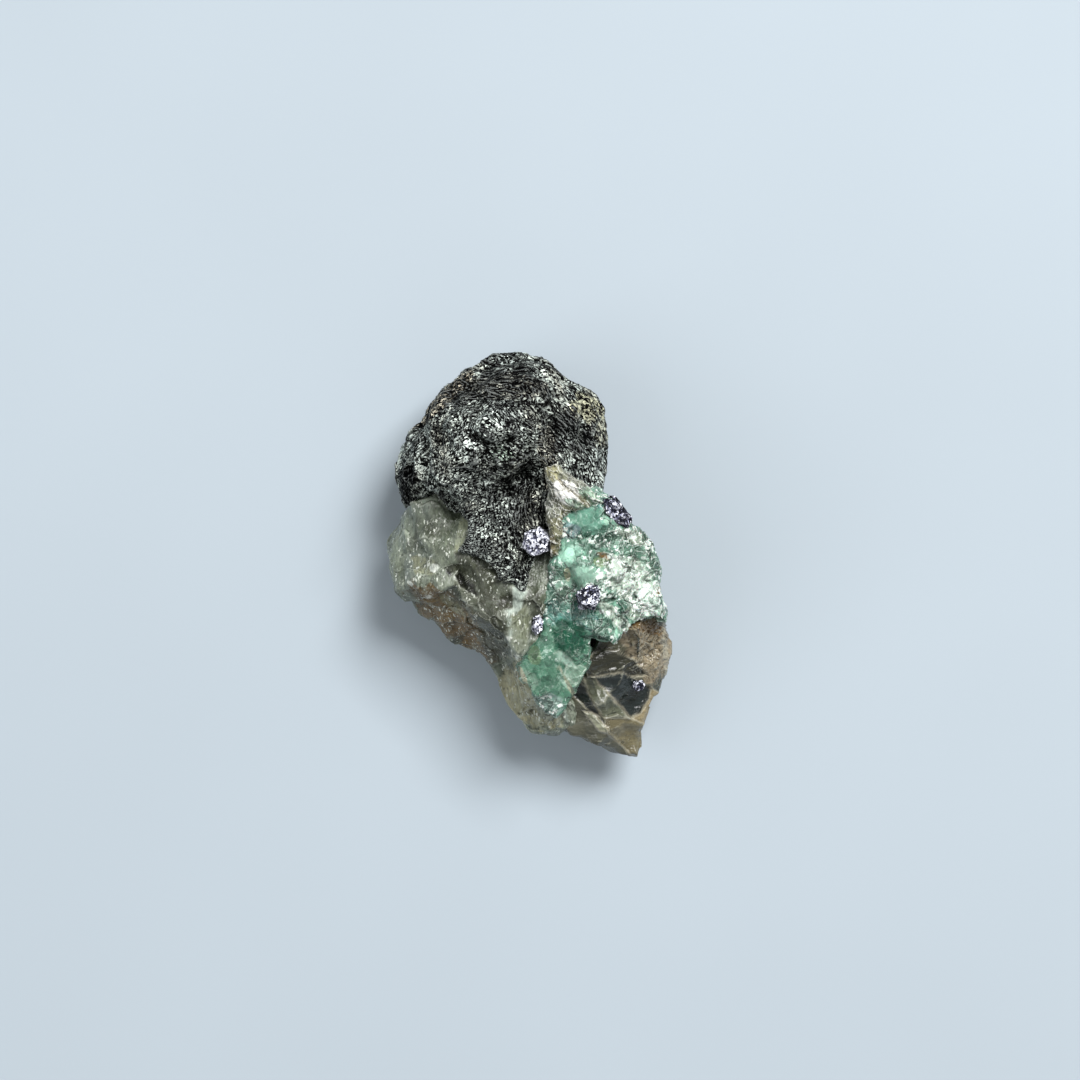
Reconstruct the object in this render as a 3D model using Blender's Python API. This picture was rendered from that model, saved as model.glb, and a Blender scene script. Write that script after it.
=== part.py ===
"""An emerald in matrix: a hand-sized rough stone, lying on its flat break.

A cap of black mica schist grips a mass of grey quartz. A block of green emerald lies on the quartz, with a
splintered point of smoky quartz below it, a seam of cream feldspar above it, and small books of mica around it.
Each mineral is one solid, seated in its neighbours with a hairline gap.

Metres, +Z up. +Y runs from the splintered point to the schist cap, +X to the emerald's side, and the origin is
on the resting break, under the middle of the stone.
"""

import bmesh
import bpy
import numpy as np
from mathutils import Matrix, Vector

MM = 0.001
HAIRLINE = 0.2  # the gap between two minerals that touch, in millimetres
BREAK_DEPTH = 4.0  # how deep the block reaches that cuts the flat break
GRID = 22  # cells along each side of the six patches that a lump's surface is made of
CENTRE = Vector((-0.19, 0.185, 0.0))  # the middle of the stone's outline, which the origin is put under

# How a lump is described. Everything is in millimetres, on the stone lying flat and seen from above.
#   outline: its edge seen from above      middle: a point inside that sees all of the outline
#   tops, floors: heights of its upper and lower surface at (x, y), blended in between
#   belt: how far up from floor to top its widest line runs
#   fullness: exponents of the plan and of the height. 1 and 1 are an ellipsoid, and less is boxier
#   dents: (x, y, half length, half width, direction in degrees, depth), and a negative depth is a bump
#   cuts: flat breaks ("flat", point, outward normal) and bowl breaks ("bowl", centre, radius)
#   rough: how strong the waviness of its broken surface is
SCHIST_CAP = dict(
    outline=[
        (-13.8, 5.9), (-14.7, 8.1), (-15.1, 10.0), (-14.6, 11.6), (-13.6, 13.6), (-12.2, 14.9),
        (-10.8, 17.0), (-8.9, 19.2), (-6.7, 20.7), (-4.4, 21.9), (-1.8, 22.3), (0.8, 21.9),
        (2.6, 20.9), (4.2, 19.2), (6.8, 17.7), (8.3, 15.9), (8.4, 14.8), (7.9, 12.0),
        (7.8, 9.2), (7.9, 6.3), (5.2, 5.3), (2.2, 3.7), (1.3, 0.9), (-0.5, -1.0),
        (-1.5, 0.9), (-4.3, 2.6), (-6.7, 3.7), (-8.1, 5.2), (-9.7, 5.7), (-10.9, 6.8),
    ],
    middle=(-4.3, 11.4),
    tops=[
        (-4.6, 13.4, 21.0), (-8.6, 8.6, 18.6), (-12.5, 10.5, 15.6), (-1.8, 18.2, 18.6), (-7.0, 17.0, 18.4),
        (4.0, 15.0, 18.0), (5.2, 9.0, 17.6), (-0.6, 7.6, 16.6), (0.0, 2.6, 16.4), (-4.4, 5.4, 17.8),
        (7.2, 15.0, 15.5), (-12.6, 6.9, 13.6),
    ],
    floors=[
        (-4.0, 14.0, -1.2), (-4.0, 18.5, -0.2), (-10.0, 12.0, -0.2), (4.0, 12.0, -0.6), (-11.0, 7.0, 4.0),
        (-4.0, 6.5, 5.0), (4.5, 6.5, 5.5), (-2.0, 1.5, 11.5), (0.4, -0.4, 13.0),
    ],
    belt=0.42,
    fullness=(0.80, 0.62),
    dents=[(-0.6, 8.2, 4.6, 1.5, 70, 1.4), (-8.2, 14.2, 4.2, 0.9, 40, 0.7), (3.0, 13.2, 3.4, 0.9, -50, 0.9)],
    cuts=[
        ("flat", (7.5, 15.2, 16.0), (0.72, 0.30, 0.62)),
        ("flat", (-9.6, 17.6, 14.5), (-0.62, 0.50, 0.60)),
        ("bowl", (-14.0, 9.4, 13.6), 1.7),
        ("flat", (-13.2, 13.0, 5.0), (-0.80, 0.25, -0.55)),
        ("flat", (-4.6, 20.6, 4.6), (-0.22, 0.80, -0.55)),
        ("flat", (6.2, 15.6, 4.4), (0.72, 0.40, -0.56)),
    ],
    rough=1.0,
)
SCHIST_TONGUE = dict(
    outline=[
        (-7.6, 6.4), (-0.9, 6.9), (1.7, 3.7), (0.6, 0.3), (-0.5, -1.7), (-0.9, -3.2), (-2.3, -2.9),
        (-3.6, -2.3), (-4.5, -0.9), (-6.1, -0.2), (-8.1, 0.7), (-7.2, 1.9), (-6.7, 3.7),
    ],
    middle=(-3.2, 2.6),
    tops=[(-3.4, 5.6, 17.4), (-5.2, 1.6, 16.7), (-2.4, 0.6, 16.9), (-1.6, -2.2, 15.9), (0.4, 3.4, 16.3)],
    floors=[(-3.2, 4.0, 11.0), (-3.0, 0.0, 12.4)],
    belt=0.5,
    fullness=(0.72, 0.55),
    dents=[],
    cuts=[],
    rough=0.8,
)
QUARTZ_MASS = dict(
    outline=[
        (-12.5, 9.0), (-13.8, 5.6), (-14.9, 3.3), (-15.5, 1.4), (-15.6, -0.8), (-15.3, -3.3),
        (-14.5, -4.7), (-12.4, -5.2), (-11.1, -6.9), (-9.7, -8.6), (-8.2, -9.7), (-6.2, -10.6),
        (-4.5, -12.0), (-3.7, -13.8), (-3.2, -15.7), (-1.8, -17.2), (-0.5, -18.7), (1.1, -19.4),
        (3.1, -19.8), (4.7, -19.6), (7.9, -17.6), (11.4, -14.2), (12.6, -9.7), (12.2, -0.8),
        (9.2, 3.7), (3.5, 8.1), (-5.4, 10.6), (-10.6, 9.9),
    ],
    middle=(-3.2, -5.2),
    tops=[
        (-13.6, 0.0, 13.0), (-11.2, 3.6, 15.0), (-11.8, 7.6, 15.4), (-9.0, -1.6, 15.2), (-6.0, -3.0, 15.4),
        (-3.0, -6.0, 15.4), (-1.0, -10.0, 14.9), (-0.4, -14.0, 13.6), (2.0, -18.0, 12.0), (-9.4, -6.4, 11.6),
        (-4.6, -10.4, 12.6), (4.0, -4.0, 12.4), (10.0, -5.0, 8.0), (3.0, 4.0, 11.0), (-5.0, 7.0, 9.0),
        (8.0, -14.0, 6.5), (-1.0, 2.0, 13.0),
    ],
    floors=[(-3.2, -6.0, -1.3), (-12.0, 0.0, 1.8), (1.0, -16.5, 1.6), (8.0, -6.0, 0.2), (-4.0, 5.0, -1.0)],
    belt=0.45,
    fullness=(0.76, 0.60),
    dents=[(-7.3, -2.9, 2.0, 0.75, -52, 1.5), (-8.6, 4.9, 1.4, 0.8, 0, 1.4), (-2.6, -4.8, 1.1, 0.9, 20, 0.9)],
    cuts=[
        ("flat", (-9.6, -6.6, 11.6), (-0.52, -0.56, 0.66)),
        ("flat", (-13.9, 2.6, 11.8), (-0.74, 0.16, 0.66)),
        ("bowl", (-9.2, -15.4, 12.0), 8.2),
        ("flat", (-14.2, -0.6, 4.6), (-0.80, -0.10, -0.59)),
        ("flat", (-8.0, -8.6, 3.8), (-0.52, -0.62, -0.59)),
        ("flat", (0.0, -18.0, 4.4), (-0.20, -0.80, -0.57)),
        ("flat", (11.6, -3.0, 3.6), (0.76, 0.14, -0.63)),
    ],
    rough=0.9,
)
SMOKY_POINT = dict(
    outline=[
        (2.5, -17.0), (3.2, -18.8), (4.7, -19.6), (6.4, -20.3), (7.9, -21.0), (10.2, -21.9),
        (11.4, -22.3), (11.7, -20.6), (11.9, -19.4), (12.5, -18.4), (12.9, -16.9), (13.4, -15.4),
        (14.4, -14.6), (14.8, -13.0), (15.1, -11.4), (15.5, -10.6), (15.6, -9.2), (15.1, -7.9),
        (14.6, -6.6), (12.4, -4.6), (7.9, -5.6), (4.9, -9.7), (3.9, -13.2), (2.8, -15.4),
    ],
    middle=(9.4, -14.6),
    tops=[
        (6.0, -8.0, 12.4), (8.0, -10.8, 13.0), (12.0, -9.6, 14.0), (14.6, -9.4, 12.0), (13.6, -13.4, 11.0),
        (10.0, -14.0, 11.4), (6.0, -14.4, 12.4), (7.0, -18.2, 10.4), (11.0, -20.6, 7.6), (12.0, -17.0, 9.0),
        (4.4, -18.4, 10.8),
    ],
    floors=[(9.0, -10.0, 4.0), (7.0, -16.0, 4.2), (11.0, -21.0, 4.4), (14.0, -10.0, 3.6)],
    belt=0.46,
    fullness=(0.66, 0.52),
    dents=[],
    cuts=[
        ("bowl", (9.4, -11.6, 16.6), 4.7),
        ("bowl", (9.8, -15.2, 14.8), 4.0),
        ("bowl", (5.9, -15.4, 14.0), 2.6),
        ("bowl", (13.8, -18.6, 16.6), 8.4),
        ("flat", (6.6, -18.2, 10.2), (-0.22, -0.42, 0.88)),
        ("flat", (12.9, -18.6, 7.6), (0.80, -0.24, 0.55)),
        ("flat", (14.6, -12.2, 10.6), (0.70, -0.30, 0.64)),
        ("flat", (14.2, -9.6, 5.4), (0.70, 0.10, -0.70)),
    ],
    rough=0.7,
)
EMERALD_BLOCK = dict(
    outline=[
        (2.2, 7.4), (3.5, 8.4), (5.5, 7.9), (8.4, 6.6), (9.5, 5.0), (10.6, 3.7), (11.9, 3.3),
        (13.3, 1.6), (13.9, -0.8), (14.3, -3.2), (14.5, -5.7), (14.7, -7.1), (13.1, -6.4), (11.8, -7.0),
        (10.5, -8.3), (9.3, -9.3), (7.8, -9.2), (6.4, -8.8), (3.7, -8.6), (1.9, -6.6), (1.4, -3.9),
        (1.8, -1.0), (2.7, 0.8), (3.1, 3.2), (2.4, 5.4),
    ],
    middle=(7.9, -0.8),
    tops=[
        (4.4, 5.0, 17.2), (8.4, 4.0, 18.0), (12.2, 0.4, 17.0), (13.2, -4.0, 16.6), (8.0, -2.0, 18.6),
        (4.2, 0.4, 17.6), (3.0, -4.4, 16.4), (8.0, -7.4, 17.0), (12.4, -6.0, 16.0), (5.2, 8.0, 17.2),
    ],
    floors=[(7.9, -1.0, 6.5), (12.6, 0.0, 8.2), (4.6, -6.4, 9.0), (5.6, 7.4, 10.0), (12.8, -6.0, 9.4)],
    belt=0.5,
    fullness=(0.64, 0.46),
    dents=[(9.4, -3.6, 3.2, 0.6, 60, 0.5), (4.2, -2.6, 2.6, 0.6, 110, 0.6), (6.6, 2.6, 2.4, 0.5, 20, 0.5)],
    cuts=[
        ("flat", (12.8, 1.6, 16.6), (0.56, 0.36, 0.74)),
        ("flat", (13.8, -4.6, 15.8), (0.66, -0.10, 0.74)),
        ("flat", (3.4, -5.4, 16.2), (-0.40, -0.22, 0.89)),
    ],
    rough=0.55,
)
EMERALD_PRISM = dict(
    outline=[
        (1.4, -5.2), (3.5, -4.1), (5.9, -5.2), (6.4, -8.3), (6.6, -10.3), (6.1, -12.3), (4.8, -14.3),
        (3.7, -16.0), (2.7, -17.4), (1.3, -17.0), (0.4, -15.7), (-0.1, -14.4), (-1.1, -13.4),
        (-1.4, -11.9), (-0.2, -9.8), (0.9, -8.3),
    ],
    middle=(2.6, -11.9),
    tops=[(0.0, -11.0, 15.8), (5.0, -9.0, 16.2), (5.2, -12.6, 14.6), (1.0, -13.6, 15.0), (2.2, -16.4, 13.6)],
    floors=[(2.6, -11.0, 9.0), (2.2, -16.0, 8.6)],
    belt=0.52,
    fullness=(0.55, 0.40),
    dents=[],
    cuts=[
        ("flat", (2.0, -12.4, 15.2), (-0.14, -0.28, 0.95)),
        ("flat", (5.2, -12.0, 14.6), (0.56, -0.22, 0.80)),
    ],
    rough=0.3,
)
FELDSPAR_HEAD = dict(
    outline=[
        (1.5, 9.7), (2.6, 10.0), (4.1, 9.3), (5.4, 8.1), (6.8, 7.1), (7.9, 6.3), (6.3, 5.7),
        (4.6, 6.3), (3.5, 5.7), (3.1, 4.6), (1.7, 5.0), (2.0, 7.2),
    ],
    middle=(3.4, 7.2),
    tops=[(2.2, 8.8, 18.4), (4.0, 7.8, 18.8), (7.0, 6.4, 18.2), (2.2, 5.6, 17.8)],
    floors=[(4.0, 7.0, 14.0)],
    belt=0.5,
    fullness=(0.66, 0.50),
    dents=[(4.6, 7.4, 2.4, 0.35, -40, 0.5)],
    cuts=[],
    rough=0.5,
)
FELDSPAR_STRIP = dict(
    outline=[(1.7, 5.6), (3.2, 5.6), (3.3, 2.6), (2.9, 0.2), (2.2, 0.0), (2.2, 2.4)],
    middle=(2.6, 2.9),
    tops=[(2.5, 5.0, 17.8), (2.7, 2.6, 17.9), (2.6, 0.4, 17.6)],
    floors=[(2.6, 3.0, 15.0)],
    belt=0.5,
    fullness=(0.66, 0.50),
    dents=[],
    cuts=[],
    rough=0.4,
)

# Books of mica: middle of the base (x, y, z), half length, half width, height, heading and lean in degrees.
MICA_BOOKS = {
    "mica_book_large": ((0.5, 2.0, 14.6), 2.0, 1.7, 2.9, 20, 8),
    "mica_book_on_emerald": ((6.8, -3.9, 17.1), 1.45, 1.2, 2.2, 50, -8),
    "mica_book_on_edge": ((9.7, 4.7, 14.8), 2.2, 0.9, 2.5, -50, 12),
    "mica_book_small": ((0.55, -7.3, 14.0), 1.15, 0.65, 1.9, 82, 6),
    "mica_bead_in_point": ((11.8, -14.1, 9.9), 0.75, 0.6, 1.5, 10, 10),
}
BOOK_SHEETS = 3  # the steps in a book's edge
STEP_BACK = 0.13  # how far each step stands back, as a share of the book's half size

# The share of each lump's triangles that is kept once its flat parts are thinned out.
TRIANGLES_KEPT = {
    "mica_schist": (0.20, 0.08),
    "quartz_mass": (0.21,),
    "smoky_quartz_point": (0.17,),
    "emerald": (0.15, 0.10),
    "feldspar_seam": (0.035, 0.02),
}

COLOURS = {
    "mica_schist": ((0.028, 0.034, 0.034), 0.42),
    "quartz_mass": ((0.185, 0.200, 0.170), 0.34),
    "smoky_quartz_point": ((0.125, 0.118, 0.090), 0.22),
    "emerald": ((0.115, 0.380, 0.275), 0.30),
    "feldspar_seam": ((0.620, 0.600, 0.470), 0.50),
    "mica_book": ((0.125, 0.120, 0.175), 0.25),
}


def stone_material(name):
    """A plain Principled material in the mineral's own colour."""
    colour, roughness = COLOURS[name]
    material = bpy.data.materials.new(name)
    material.use_nodes = True
    shader = material.node_tree.nodes["Principled BSDF"]
    shader.inputs["Base Color"].default_value = (*colour, 1.0)
    shader.inputs["Roughness"].default_value = roughness
    return material


def blended(spots, x, y):
    """Heights between the spots (x, y, height): each counts by the inverse fourth power of its distance."""
    total = np.zeros_like(x)
    weights = np.zeros_like(x)
    for spot_x, spot_y, height in spots:
        weight = 1.0 / ((x - spot_x) ** 2 + (y - spot_y) ** 2 + 0.6) ** 2
        total += weight * height
        weights += weight
    return total / weights


def dented(dents, x, y):
    """How far the dents lower the upper surface: each is a smooth oval hollow."""
    depth = np.zeros_like(x)
    for dent_x, dent_y, half_length, half_width, direction, deep in dents:
        turn = np.radians(direction)
        along = (x - dent_x) * np.cos(turn) + (y - dent_y) * np.sin(turn)
        across = (y - dent_y) * np.cos(turn) - (x - dent_x) * np.sin(turn)
        depth += deep * np.exp(-((along / half_length) ** 2) - (across / half_width) ** 2)
    return depth


def reach(outline, middle, angle):
    """Distance from the middle to the outline along each angle, with the outline's sides kept straight."""
    corners = np.array(outline) - middle
    share = np.linspace(0, 1, 12, endpoint=False)[:, None]
    points = (corners[:, None] * (1 - share) + np.roll(corners, -1, axis=0)[:, None] * share).reshape(-1, 2)
    angles = np.arctan2(points[:, 1], points[:, 0])
    order = np.argsort(angles)
    return np.interp(angle, angles[order], np.hypot(*points.T)[order], period=2 * np.pi)


def cut_back(points, cuts):
    """Moves what stands past a flat break onto it, and what lies inside a bowl out to its wall."""
    for kind, place, value in cuts:
        away = points - np.array(place)
        if kind == "flat":
            normal = np.array(value) / np.linalg.norm(value)
            points = points - np.maximum(away @ normal, 0)[:, None] * normal
        else:
            distance = np.linalg.norm(away, axis=1, keepdims=True)
            points = np.where(distance < value, place + away * value / distance, points)
    return points


def ruffle(points, rough, seed):
    """A coarse waviness of the broken surface: a few slanted sine waves of falling height."""
    draw = np.random.default_rng(seed)
    shift = np.zeros_like(points)
    for length, height in ((7.0, 0.30), (4.0, 0.22), (2.4, 0.16)):
        for axis in range(3):
            heading = draw.normal(size=3)
            heading /= np.linalg.norm(heading)
            shift[:, axis] += height * np.sin(points @ heading * 2 * np.pi / length + draw.uniform(0, 2 * np.pi))
    return points + shift * rough


def lump_points(directions, lump, seed):
    """Carries unit directions onto the lump's surface, in millimetres."""
    east, north, up = directions.T
    plan = np.hypot(east, north)
    edge = reach(lump["outline"], lump["middle"], np.arctan2(north, east))
    plan_power, height_power = lump["fullness"]
    out = plan ** plan_power * edge / np.maximum(plan, 1e-9)
    x = lump["middle"][0] + east * out
    y = lump["middle"][1] + north * out
    top = blended(lump["tops"], x, y) - dented(lump["dents"], x, y)
    floor = blended(lump["floors"], x, y)
    belt = floor + lump["belt"] * (top - floor)
    z = belt + np.abs(up) ** height_power * np.where(up > 0, top - belt, floor - belt)
    return ruffle(cut_back(np.column_stack([x, y, z]), lump["cuts"]), lump["rough"], seed)


def lump_object(name, lump, seed):
    """A closed mesh of one lump: a ball of six square patches, carried onto the lump's surface."""
    shape = bmesh.new()
    bmesh.ops.create_cube(shape, size=2)
    bmesh.ops.subdivide_edges(shape, edges=shape.edges, cuts=GRID - 1, use_grid_fill=True)
    corners = np.array([vertex.co for vertex in shape.verts])
    spread = np.tan(corners * np.pi / 4)  # makes the cells even in size on the ball
    directions = spread / np.linalg.norm(spread, axis=1, keepdims=True)
    for vertex, point in zip(shape.verts, lump_points(directions, lump, seed)):
        vertex.co = (Vector(point) - CENTRE) * MM
    mesh = bpy.data.meshes.new(name)
    shape.to_mesh(mesh)
    shape.free()
    piece = bpy.data.objects.new(name, mesh)
    bpy.context.scene.collection.objects.link(piece)
    return piece


def helper(piece):
    """Marks an object as a cutter or a fused-on shape, which isn't a piece of the stone itself."""
    piece.hide_render = True
    piece.display_type = "WIRE"
    return piece


def thin_out(piece, share):
    """Keeps the ridges and drops the small triangles between them."""
    modifier = piece.modifiers.new("thin_out", "DECIMATE")
    modifier.ratio = share


def boolean(piece, operation, other):
    """The manifold solver joins and cuts these rough surfaces, which the exact one leaves empty."""
    modifier = piece.modifiers.new(f"{operation.lower()}_{other.name}", "BOOLEAN")
    modifier.operation = operation
    modifier.solver = "MANIFOLD"
    modifier.object = other


def mineral(name, lumps, material, seed):
    """One mineral piece: its first lump with the others fused on, thinned to its ridges."""
    piece = lump_object(name, lumps[0], seed)
    piece.data.materials.append(stone_material(material))
    thin_out(piece, TRIANGLES_KEPT[name][0])
    for number, lump in enumerate(lumps[1:], 1):
        joined = helper(lump_object(f"{name}_lump_{number}", lump, seed + number))
        thin_out(joined, TRIANGLES_KEPT[name][number])
        boolean(piece, "UNION", joined)
    return piece


def mica_book(name, place, half_length, half_width, height, heading, lean):
    """A six-sided stack of mica sheets, each a little smaller than the one below."""
    steps = range(BOOK_SHEETS)
    rings = [(1 - STEP_BACK * step, height * level / BOOK_SHEETS) for step in steps for level in (step, step + 1)]
    shape = bmesh.new()
    rows = []
    for radius, level in rings:
        ring = bmesh.ops.create_circle(shape, segments=6, radius=radius)["verts"]
        bmesh.ops.translate(shape, verts=ring, vec=(0, 0, level))
        rows.append(ring)
    for lower, upper in zip(rows, rows[1:]):
        for side in range(6):
            shape.faces.new((lower[side - 1], lower[side], upper[side], upper[side - 1]))
    shape.faces.new(rows[0])
    shape.faces.new(rows[-1])
    bmesh.ops.recalc_face_normals(shape, faces=shape.faces)
    turn = Matrix.Rotation(np.radians(heading), 4, "Z") @ Matrix.Rotation(np.radians(lean), 4, "X")
    size = Matrix.Diagonal((half_length, half_width, 1.0, 1.0))
    shape.transform(Matrix.Scale(MM, 4) @ Matrix.Translation(Vector(place) - CENTRE) @ turn @ size)
    mesh = bpy.data.meshes.new(name)
    shape.to_mesh(mesh)
    shape.free()
    book = bpy.data.objects.new(name, mesh)
    bpy.context.scene.collection.objects.link(book)
    book.data.materials.append(stone_material("mica_book"))
    return book


def socket(piece):
    """The piece grown by the hairline gap, which its neighbours are cut by."""
    grown = helper(piece.copy())
    grown.name = f"{piece.name}_socket"
    bpy.context.scene.collection.objects.link(grown)
    growth = grown.modifiers.new("hairline", "DISPLACE")
    growth.mid_level = 0.0
    growth.strength = HAIRLINE * MM
    return grown


def break_block():
    """The block under the stone whose top is the flat break that it rests on."""
    bpy.ops.mesh.primitive_cube_add(size=1, location=(0, 0, -BREAK_DEPTH * MM / 2))
    block = bpy.context.object
    block.name = "flat_break"
    block.data.transform(Matrix.Diagonal((60 * MM, 60 * MM, BREAK_DEPTH * MM, 1.0)))
    return helper(block)


def main():
    for thing in list(bpy.data.objects):
        bpy.data.objects.remove(thing)
    schist = mineral("mica_schist", [SCHIST_CAP, SCHIST_TONGUE], "mica_schist", 3)
    quartz = mineral("quartz_mass", [QUARTZ_MASS], "quartz_mass", 11)
    point = mineral("smoky_quartz_point", [SMOKY_POINT], "smoky_quartz_point", 19)
    emerald = mineral("emerald", [EMERALD_BLOCK, EMERALD_PRISM], "emerald", 23)
    feldspar = mineral("feldspar_seam", [FELDSPAR_HEAD, FELDSPAR_STRIP], "feldspar_seam", 31)
    books = {name: mica_book(name, *book) for name, book in MICA_BOOKS.items()}

    sockets = {piece.name: socket(piece) for piece in (schist, point, emerald, feldspar, *books.values())}
    block = break_block()
    neighbours = (
        (feldspar, ("mica_book_large", "mica_book_on_edge")),
        (emerald, ("feldspar_seam", "mica_book_large", "mica_book_on_emerald", "mica_book_on_edge",
                   "mica_book_small")),
        (schist, ("emerald", "feldspar_seam", "mica_book_large", "mica_book_on_edge")),
        (point, ("emerald", "mica_bead_in_point")),
        (quartz, ("mica_schist", "smoky_quartz_point", "emerald", "feldspar_seam", "mica_book_large",
                  "mica_book_small")),
    )
    for piece, cutters in neighbours:
        for cutter in cutters:
            boolean(piece, "DIFFERENCE", sockets[cutter])
    for piece in (schist, quartz):
        boolean(piece, "DIFFERENCE", block)


main()
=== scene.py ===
"""An emerald in matrix, a rough stone 45 mm long, lying on its flat break on a pale table.

Small books of mica, a seam of cream feldspar and a block of green emerald were there first. A splintered
point of smoky quartz and a cap of black mica schist grew against them, and grey quartz filled what was
left. The sections follow that order. Lengths are in millimetres until a mesh is made.
"""

import bpy
import numpy as np
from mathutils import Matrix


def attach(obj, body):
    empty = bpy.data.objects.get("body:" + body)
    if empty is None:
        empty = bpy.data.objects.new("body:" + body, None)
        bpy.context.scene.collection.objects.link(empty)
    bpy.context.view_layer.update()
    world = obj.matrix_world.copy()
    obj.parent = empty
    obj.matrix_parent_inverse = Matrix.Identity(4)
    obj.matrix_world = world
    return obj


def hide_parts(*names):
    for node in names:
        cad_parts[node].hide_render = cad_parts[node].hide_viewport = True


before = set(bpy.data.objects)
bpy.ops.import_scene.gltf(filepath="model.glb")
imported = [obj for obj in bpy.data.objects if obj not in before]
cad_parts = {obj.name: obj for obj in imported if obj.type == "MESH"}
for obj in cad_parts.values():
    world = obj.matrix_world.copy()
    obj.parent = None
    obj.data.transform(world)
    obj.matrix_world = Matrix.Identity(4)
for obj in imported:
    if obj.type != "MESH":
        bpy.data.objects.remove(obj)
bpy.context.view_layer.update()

# Mica books. Six-sided stacks of thin violet-black mica sheets that stand in the emerald, in the quartz and
# at the end of the schist. Their sheets are stepped and chipped, and their broken ends glint white, which is
# painted into their colour as white flakes.
MM = 0.001
STONE_MIDDLE = np.array([-0.19, 0.185, 0.0])  # the middle of the stone's outline, which lies over the origin
MICA_BOOKS = {
    # name: middle of the base, half length, half width, height, heading and lean in degrees, and how
    # white its painted glints are
    "mica_book_large": ((0.4, 2.0, 14.6), 2.1, 1.9, 2.9, 20, 8, 0.12),
    "mica_book_on_emerald": ((6.4, -4.1, 16.9), 1.85, 1.5, 2.1, 50, -4, -0.12),
    "mica_book_on_edge": ((9.2, 4.9, 15.2), 2.5, 1.2, 2.7, -50, 2, -0.26),
    "mica_book_small": ((0.55, -7.3, 14.0), 1.25, 0.75, 2.1, 82, 6, 0.04),
    "mica_bead_in_point": ((11.8, -14.1, 9.8), 0.8, 0.65, 1.1, 10, 10, -0.1),
}
SHEETS = 11
RING_POINTS = 72  # along the edge of a sheet
BOOK_TAPER = 0.34  # how much narrower the top sheet is, as a share of the base
MICA_NIGHT = (28, 30, 44)
MICA_VIOLET = (92, 94, 118)
MICA_GLINT = (236, 238, 248)


def pigment(colour):
    """A colour on the 0 to 255 scale of a screen, as the share of light that it gives back."""
    share = np.asarray(colour) / 255
    return np.where(share > 0.04045, ((share + 0.055) / 1.055) ** 2.4, share / 12.92)


def steady_random(cells, seed):
    """A number from 0 to 1 for each lattice cell: its whole numbers, each times a prime, mixed together."""
    bits = seed * 7919
    for axis, prime in enumerate((73856093, 19349663, 83492791)):
        bits = bits ^ (cells[..., axis] * prime)
    for shift, factor in ((15, 2246822519), (13, 3266489917)):
        bits = ((bits ^ (bits >> shift)) * factor) & 0xFFFFFFFF
    return ((bits ^ (bits >> 16)) & 0xFFFFFF) / 0xFFFFFF


def soft_noise(points, size, seed):
    """Smooth noise from -1 to 1: random values at lattice points, blended in between by t*t*(3 - 2t)."""
    place = points / size
    cell = np.floor(place).astype(np.int64)
    step = place - cell
    step = step * step * (3 - 2 * step)
    total = np.zeros(len(points))
    for corner in np.ndindex(2, 2, 2):
        share = np.prod(np.where(corner, step, 1 - step), axis=1)
        total += share * steady_random(cell + corner, seed)
    return 2 * total - 1


def rough_noise(points, size, seed, layers=4):
    """Noise with finer noise on it: every layer has half the size and half the height of the one before."""
    return sum(soft_noise(points, size / 2**layer, seed + layer) / 2**layer for layer in range(layers))


def in_scene(name, data):
    """Puts a mesh, a lamp or a camera into the scene, at the origin."""
    thing = bpy.data.objects.new(name, data)
    bpy.context.scene.collection.objects.link(thing)
    return thing


def paint(piece, name, values, kind="FLOAT"):
    """Keeps a number, a vector or a colour of each point with the mesh, for its material to read."""
    if kind == "FLOAT_COLOR":
        values = np.column_stack([values, np.ones(len(values))])
    field = {"FLOAT": "value", "FLOAT_VECTOR": "vector", "FLOAT_COLOR": "color"}[kind]
    layer = piece.data.attributes.new(name, kind, "POINT")
    layer.data.foreach_set(field, values.astype(np.float32).ravel())


def wire(tree, socket, value):
    """Gives a socket a fixed value, or the output of another node."""
    if isinstance(value, bpy.types.NodeSocket):
        tree.links.new(value, socket)
    elif hasattr(value, "__len__") and len(value) == 3 and socket.type == "RGBA":
        socket.default_value = (*value, 1.0)
    else:
        socket.default_value = value


def new_finish(name):
    """An empty material of one glossy shader, with its node tree."""
    material = bpy.data.materials.new(name)
    material.use_nodes = True
    return material, material.node_tree, material.node_tree.nodes["Principled BSDF"]


def in_millimetres(tree, stretch=(1, 1, 1), turn=0):
    """Places on the piece in millimetres, by a Mapping node: a pattern on them is stretched along the
    piece's own axes. The turn in degrees comes after that, so it only takes another part of the pattern."""
    mapping = tree.nodes.new("ShaderNodeMapping")
    mapping.vector_type = "POINT"
    wire(tree, mapping.inputs["Vector"], tree.nodes.new("ShaderNodeTexCoord").outputs["Object"])
    mapping.inputs["Rotation"].default_value = (0, 0, np.radians(turn))
    mapping.inputs["Scale"].default_value = [1 / MM / side for side in stretch]
    return mapping.outputs["Vector"]


def painted_layer(tree, name, output="Color"):
    """Reads a painted layer of the piece."""
    node = tree.nodes.new("ShaderNodeAttribute")
    node.attribute_name = name
    return node.outputs[output]


def cloud(tree, place, size, detail=3.0, rough=0.55):
    """Soft noise from 0 to 1 whose patches are about a size wide."""
    node = tree.nodes.new("ShaderNodeTexNoise")
    wire(tree, node.inputs["Vector"], place)
    node.inputs["Scale"].default_value = 1 / size
    node.inputs["Detail"].default_value = detail
    node.inputs["Roughness"].default_value = rough
    return node.outputs["Fac"]


def grains(tree, place, size, feature="F1", output="Color"):
    """Crystal grains about a size wide: a random colour for each, or the distance inside it."""
    node = tree.nodes.new("ShaderNodeTexVoronoi")
    node.feature = feature
    wire(tree, node.inputs["Vector"], place)
    node.inputs["Scale"].default_value = 1 / size
    return node.outputs[output]


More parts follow.
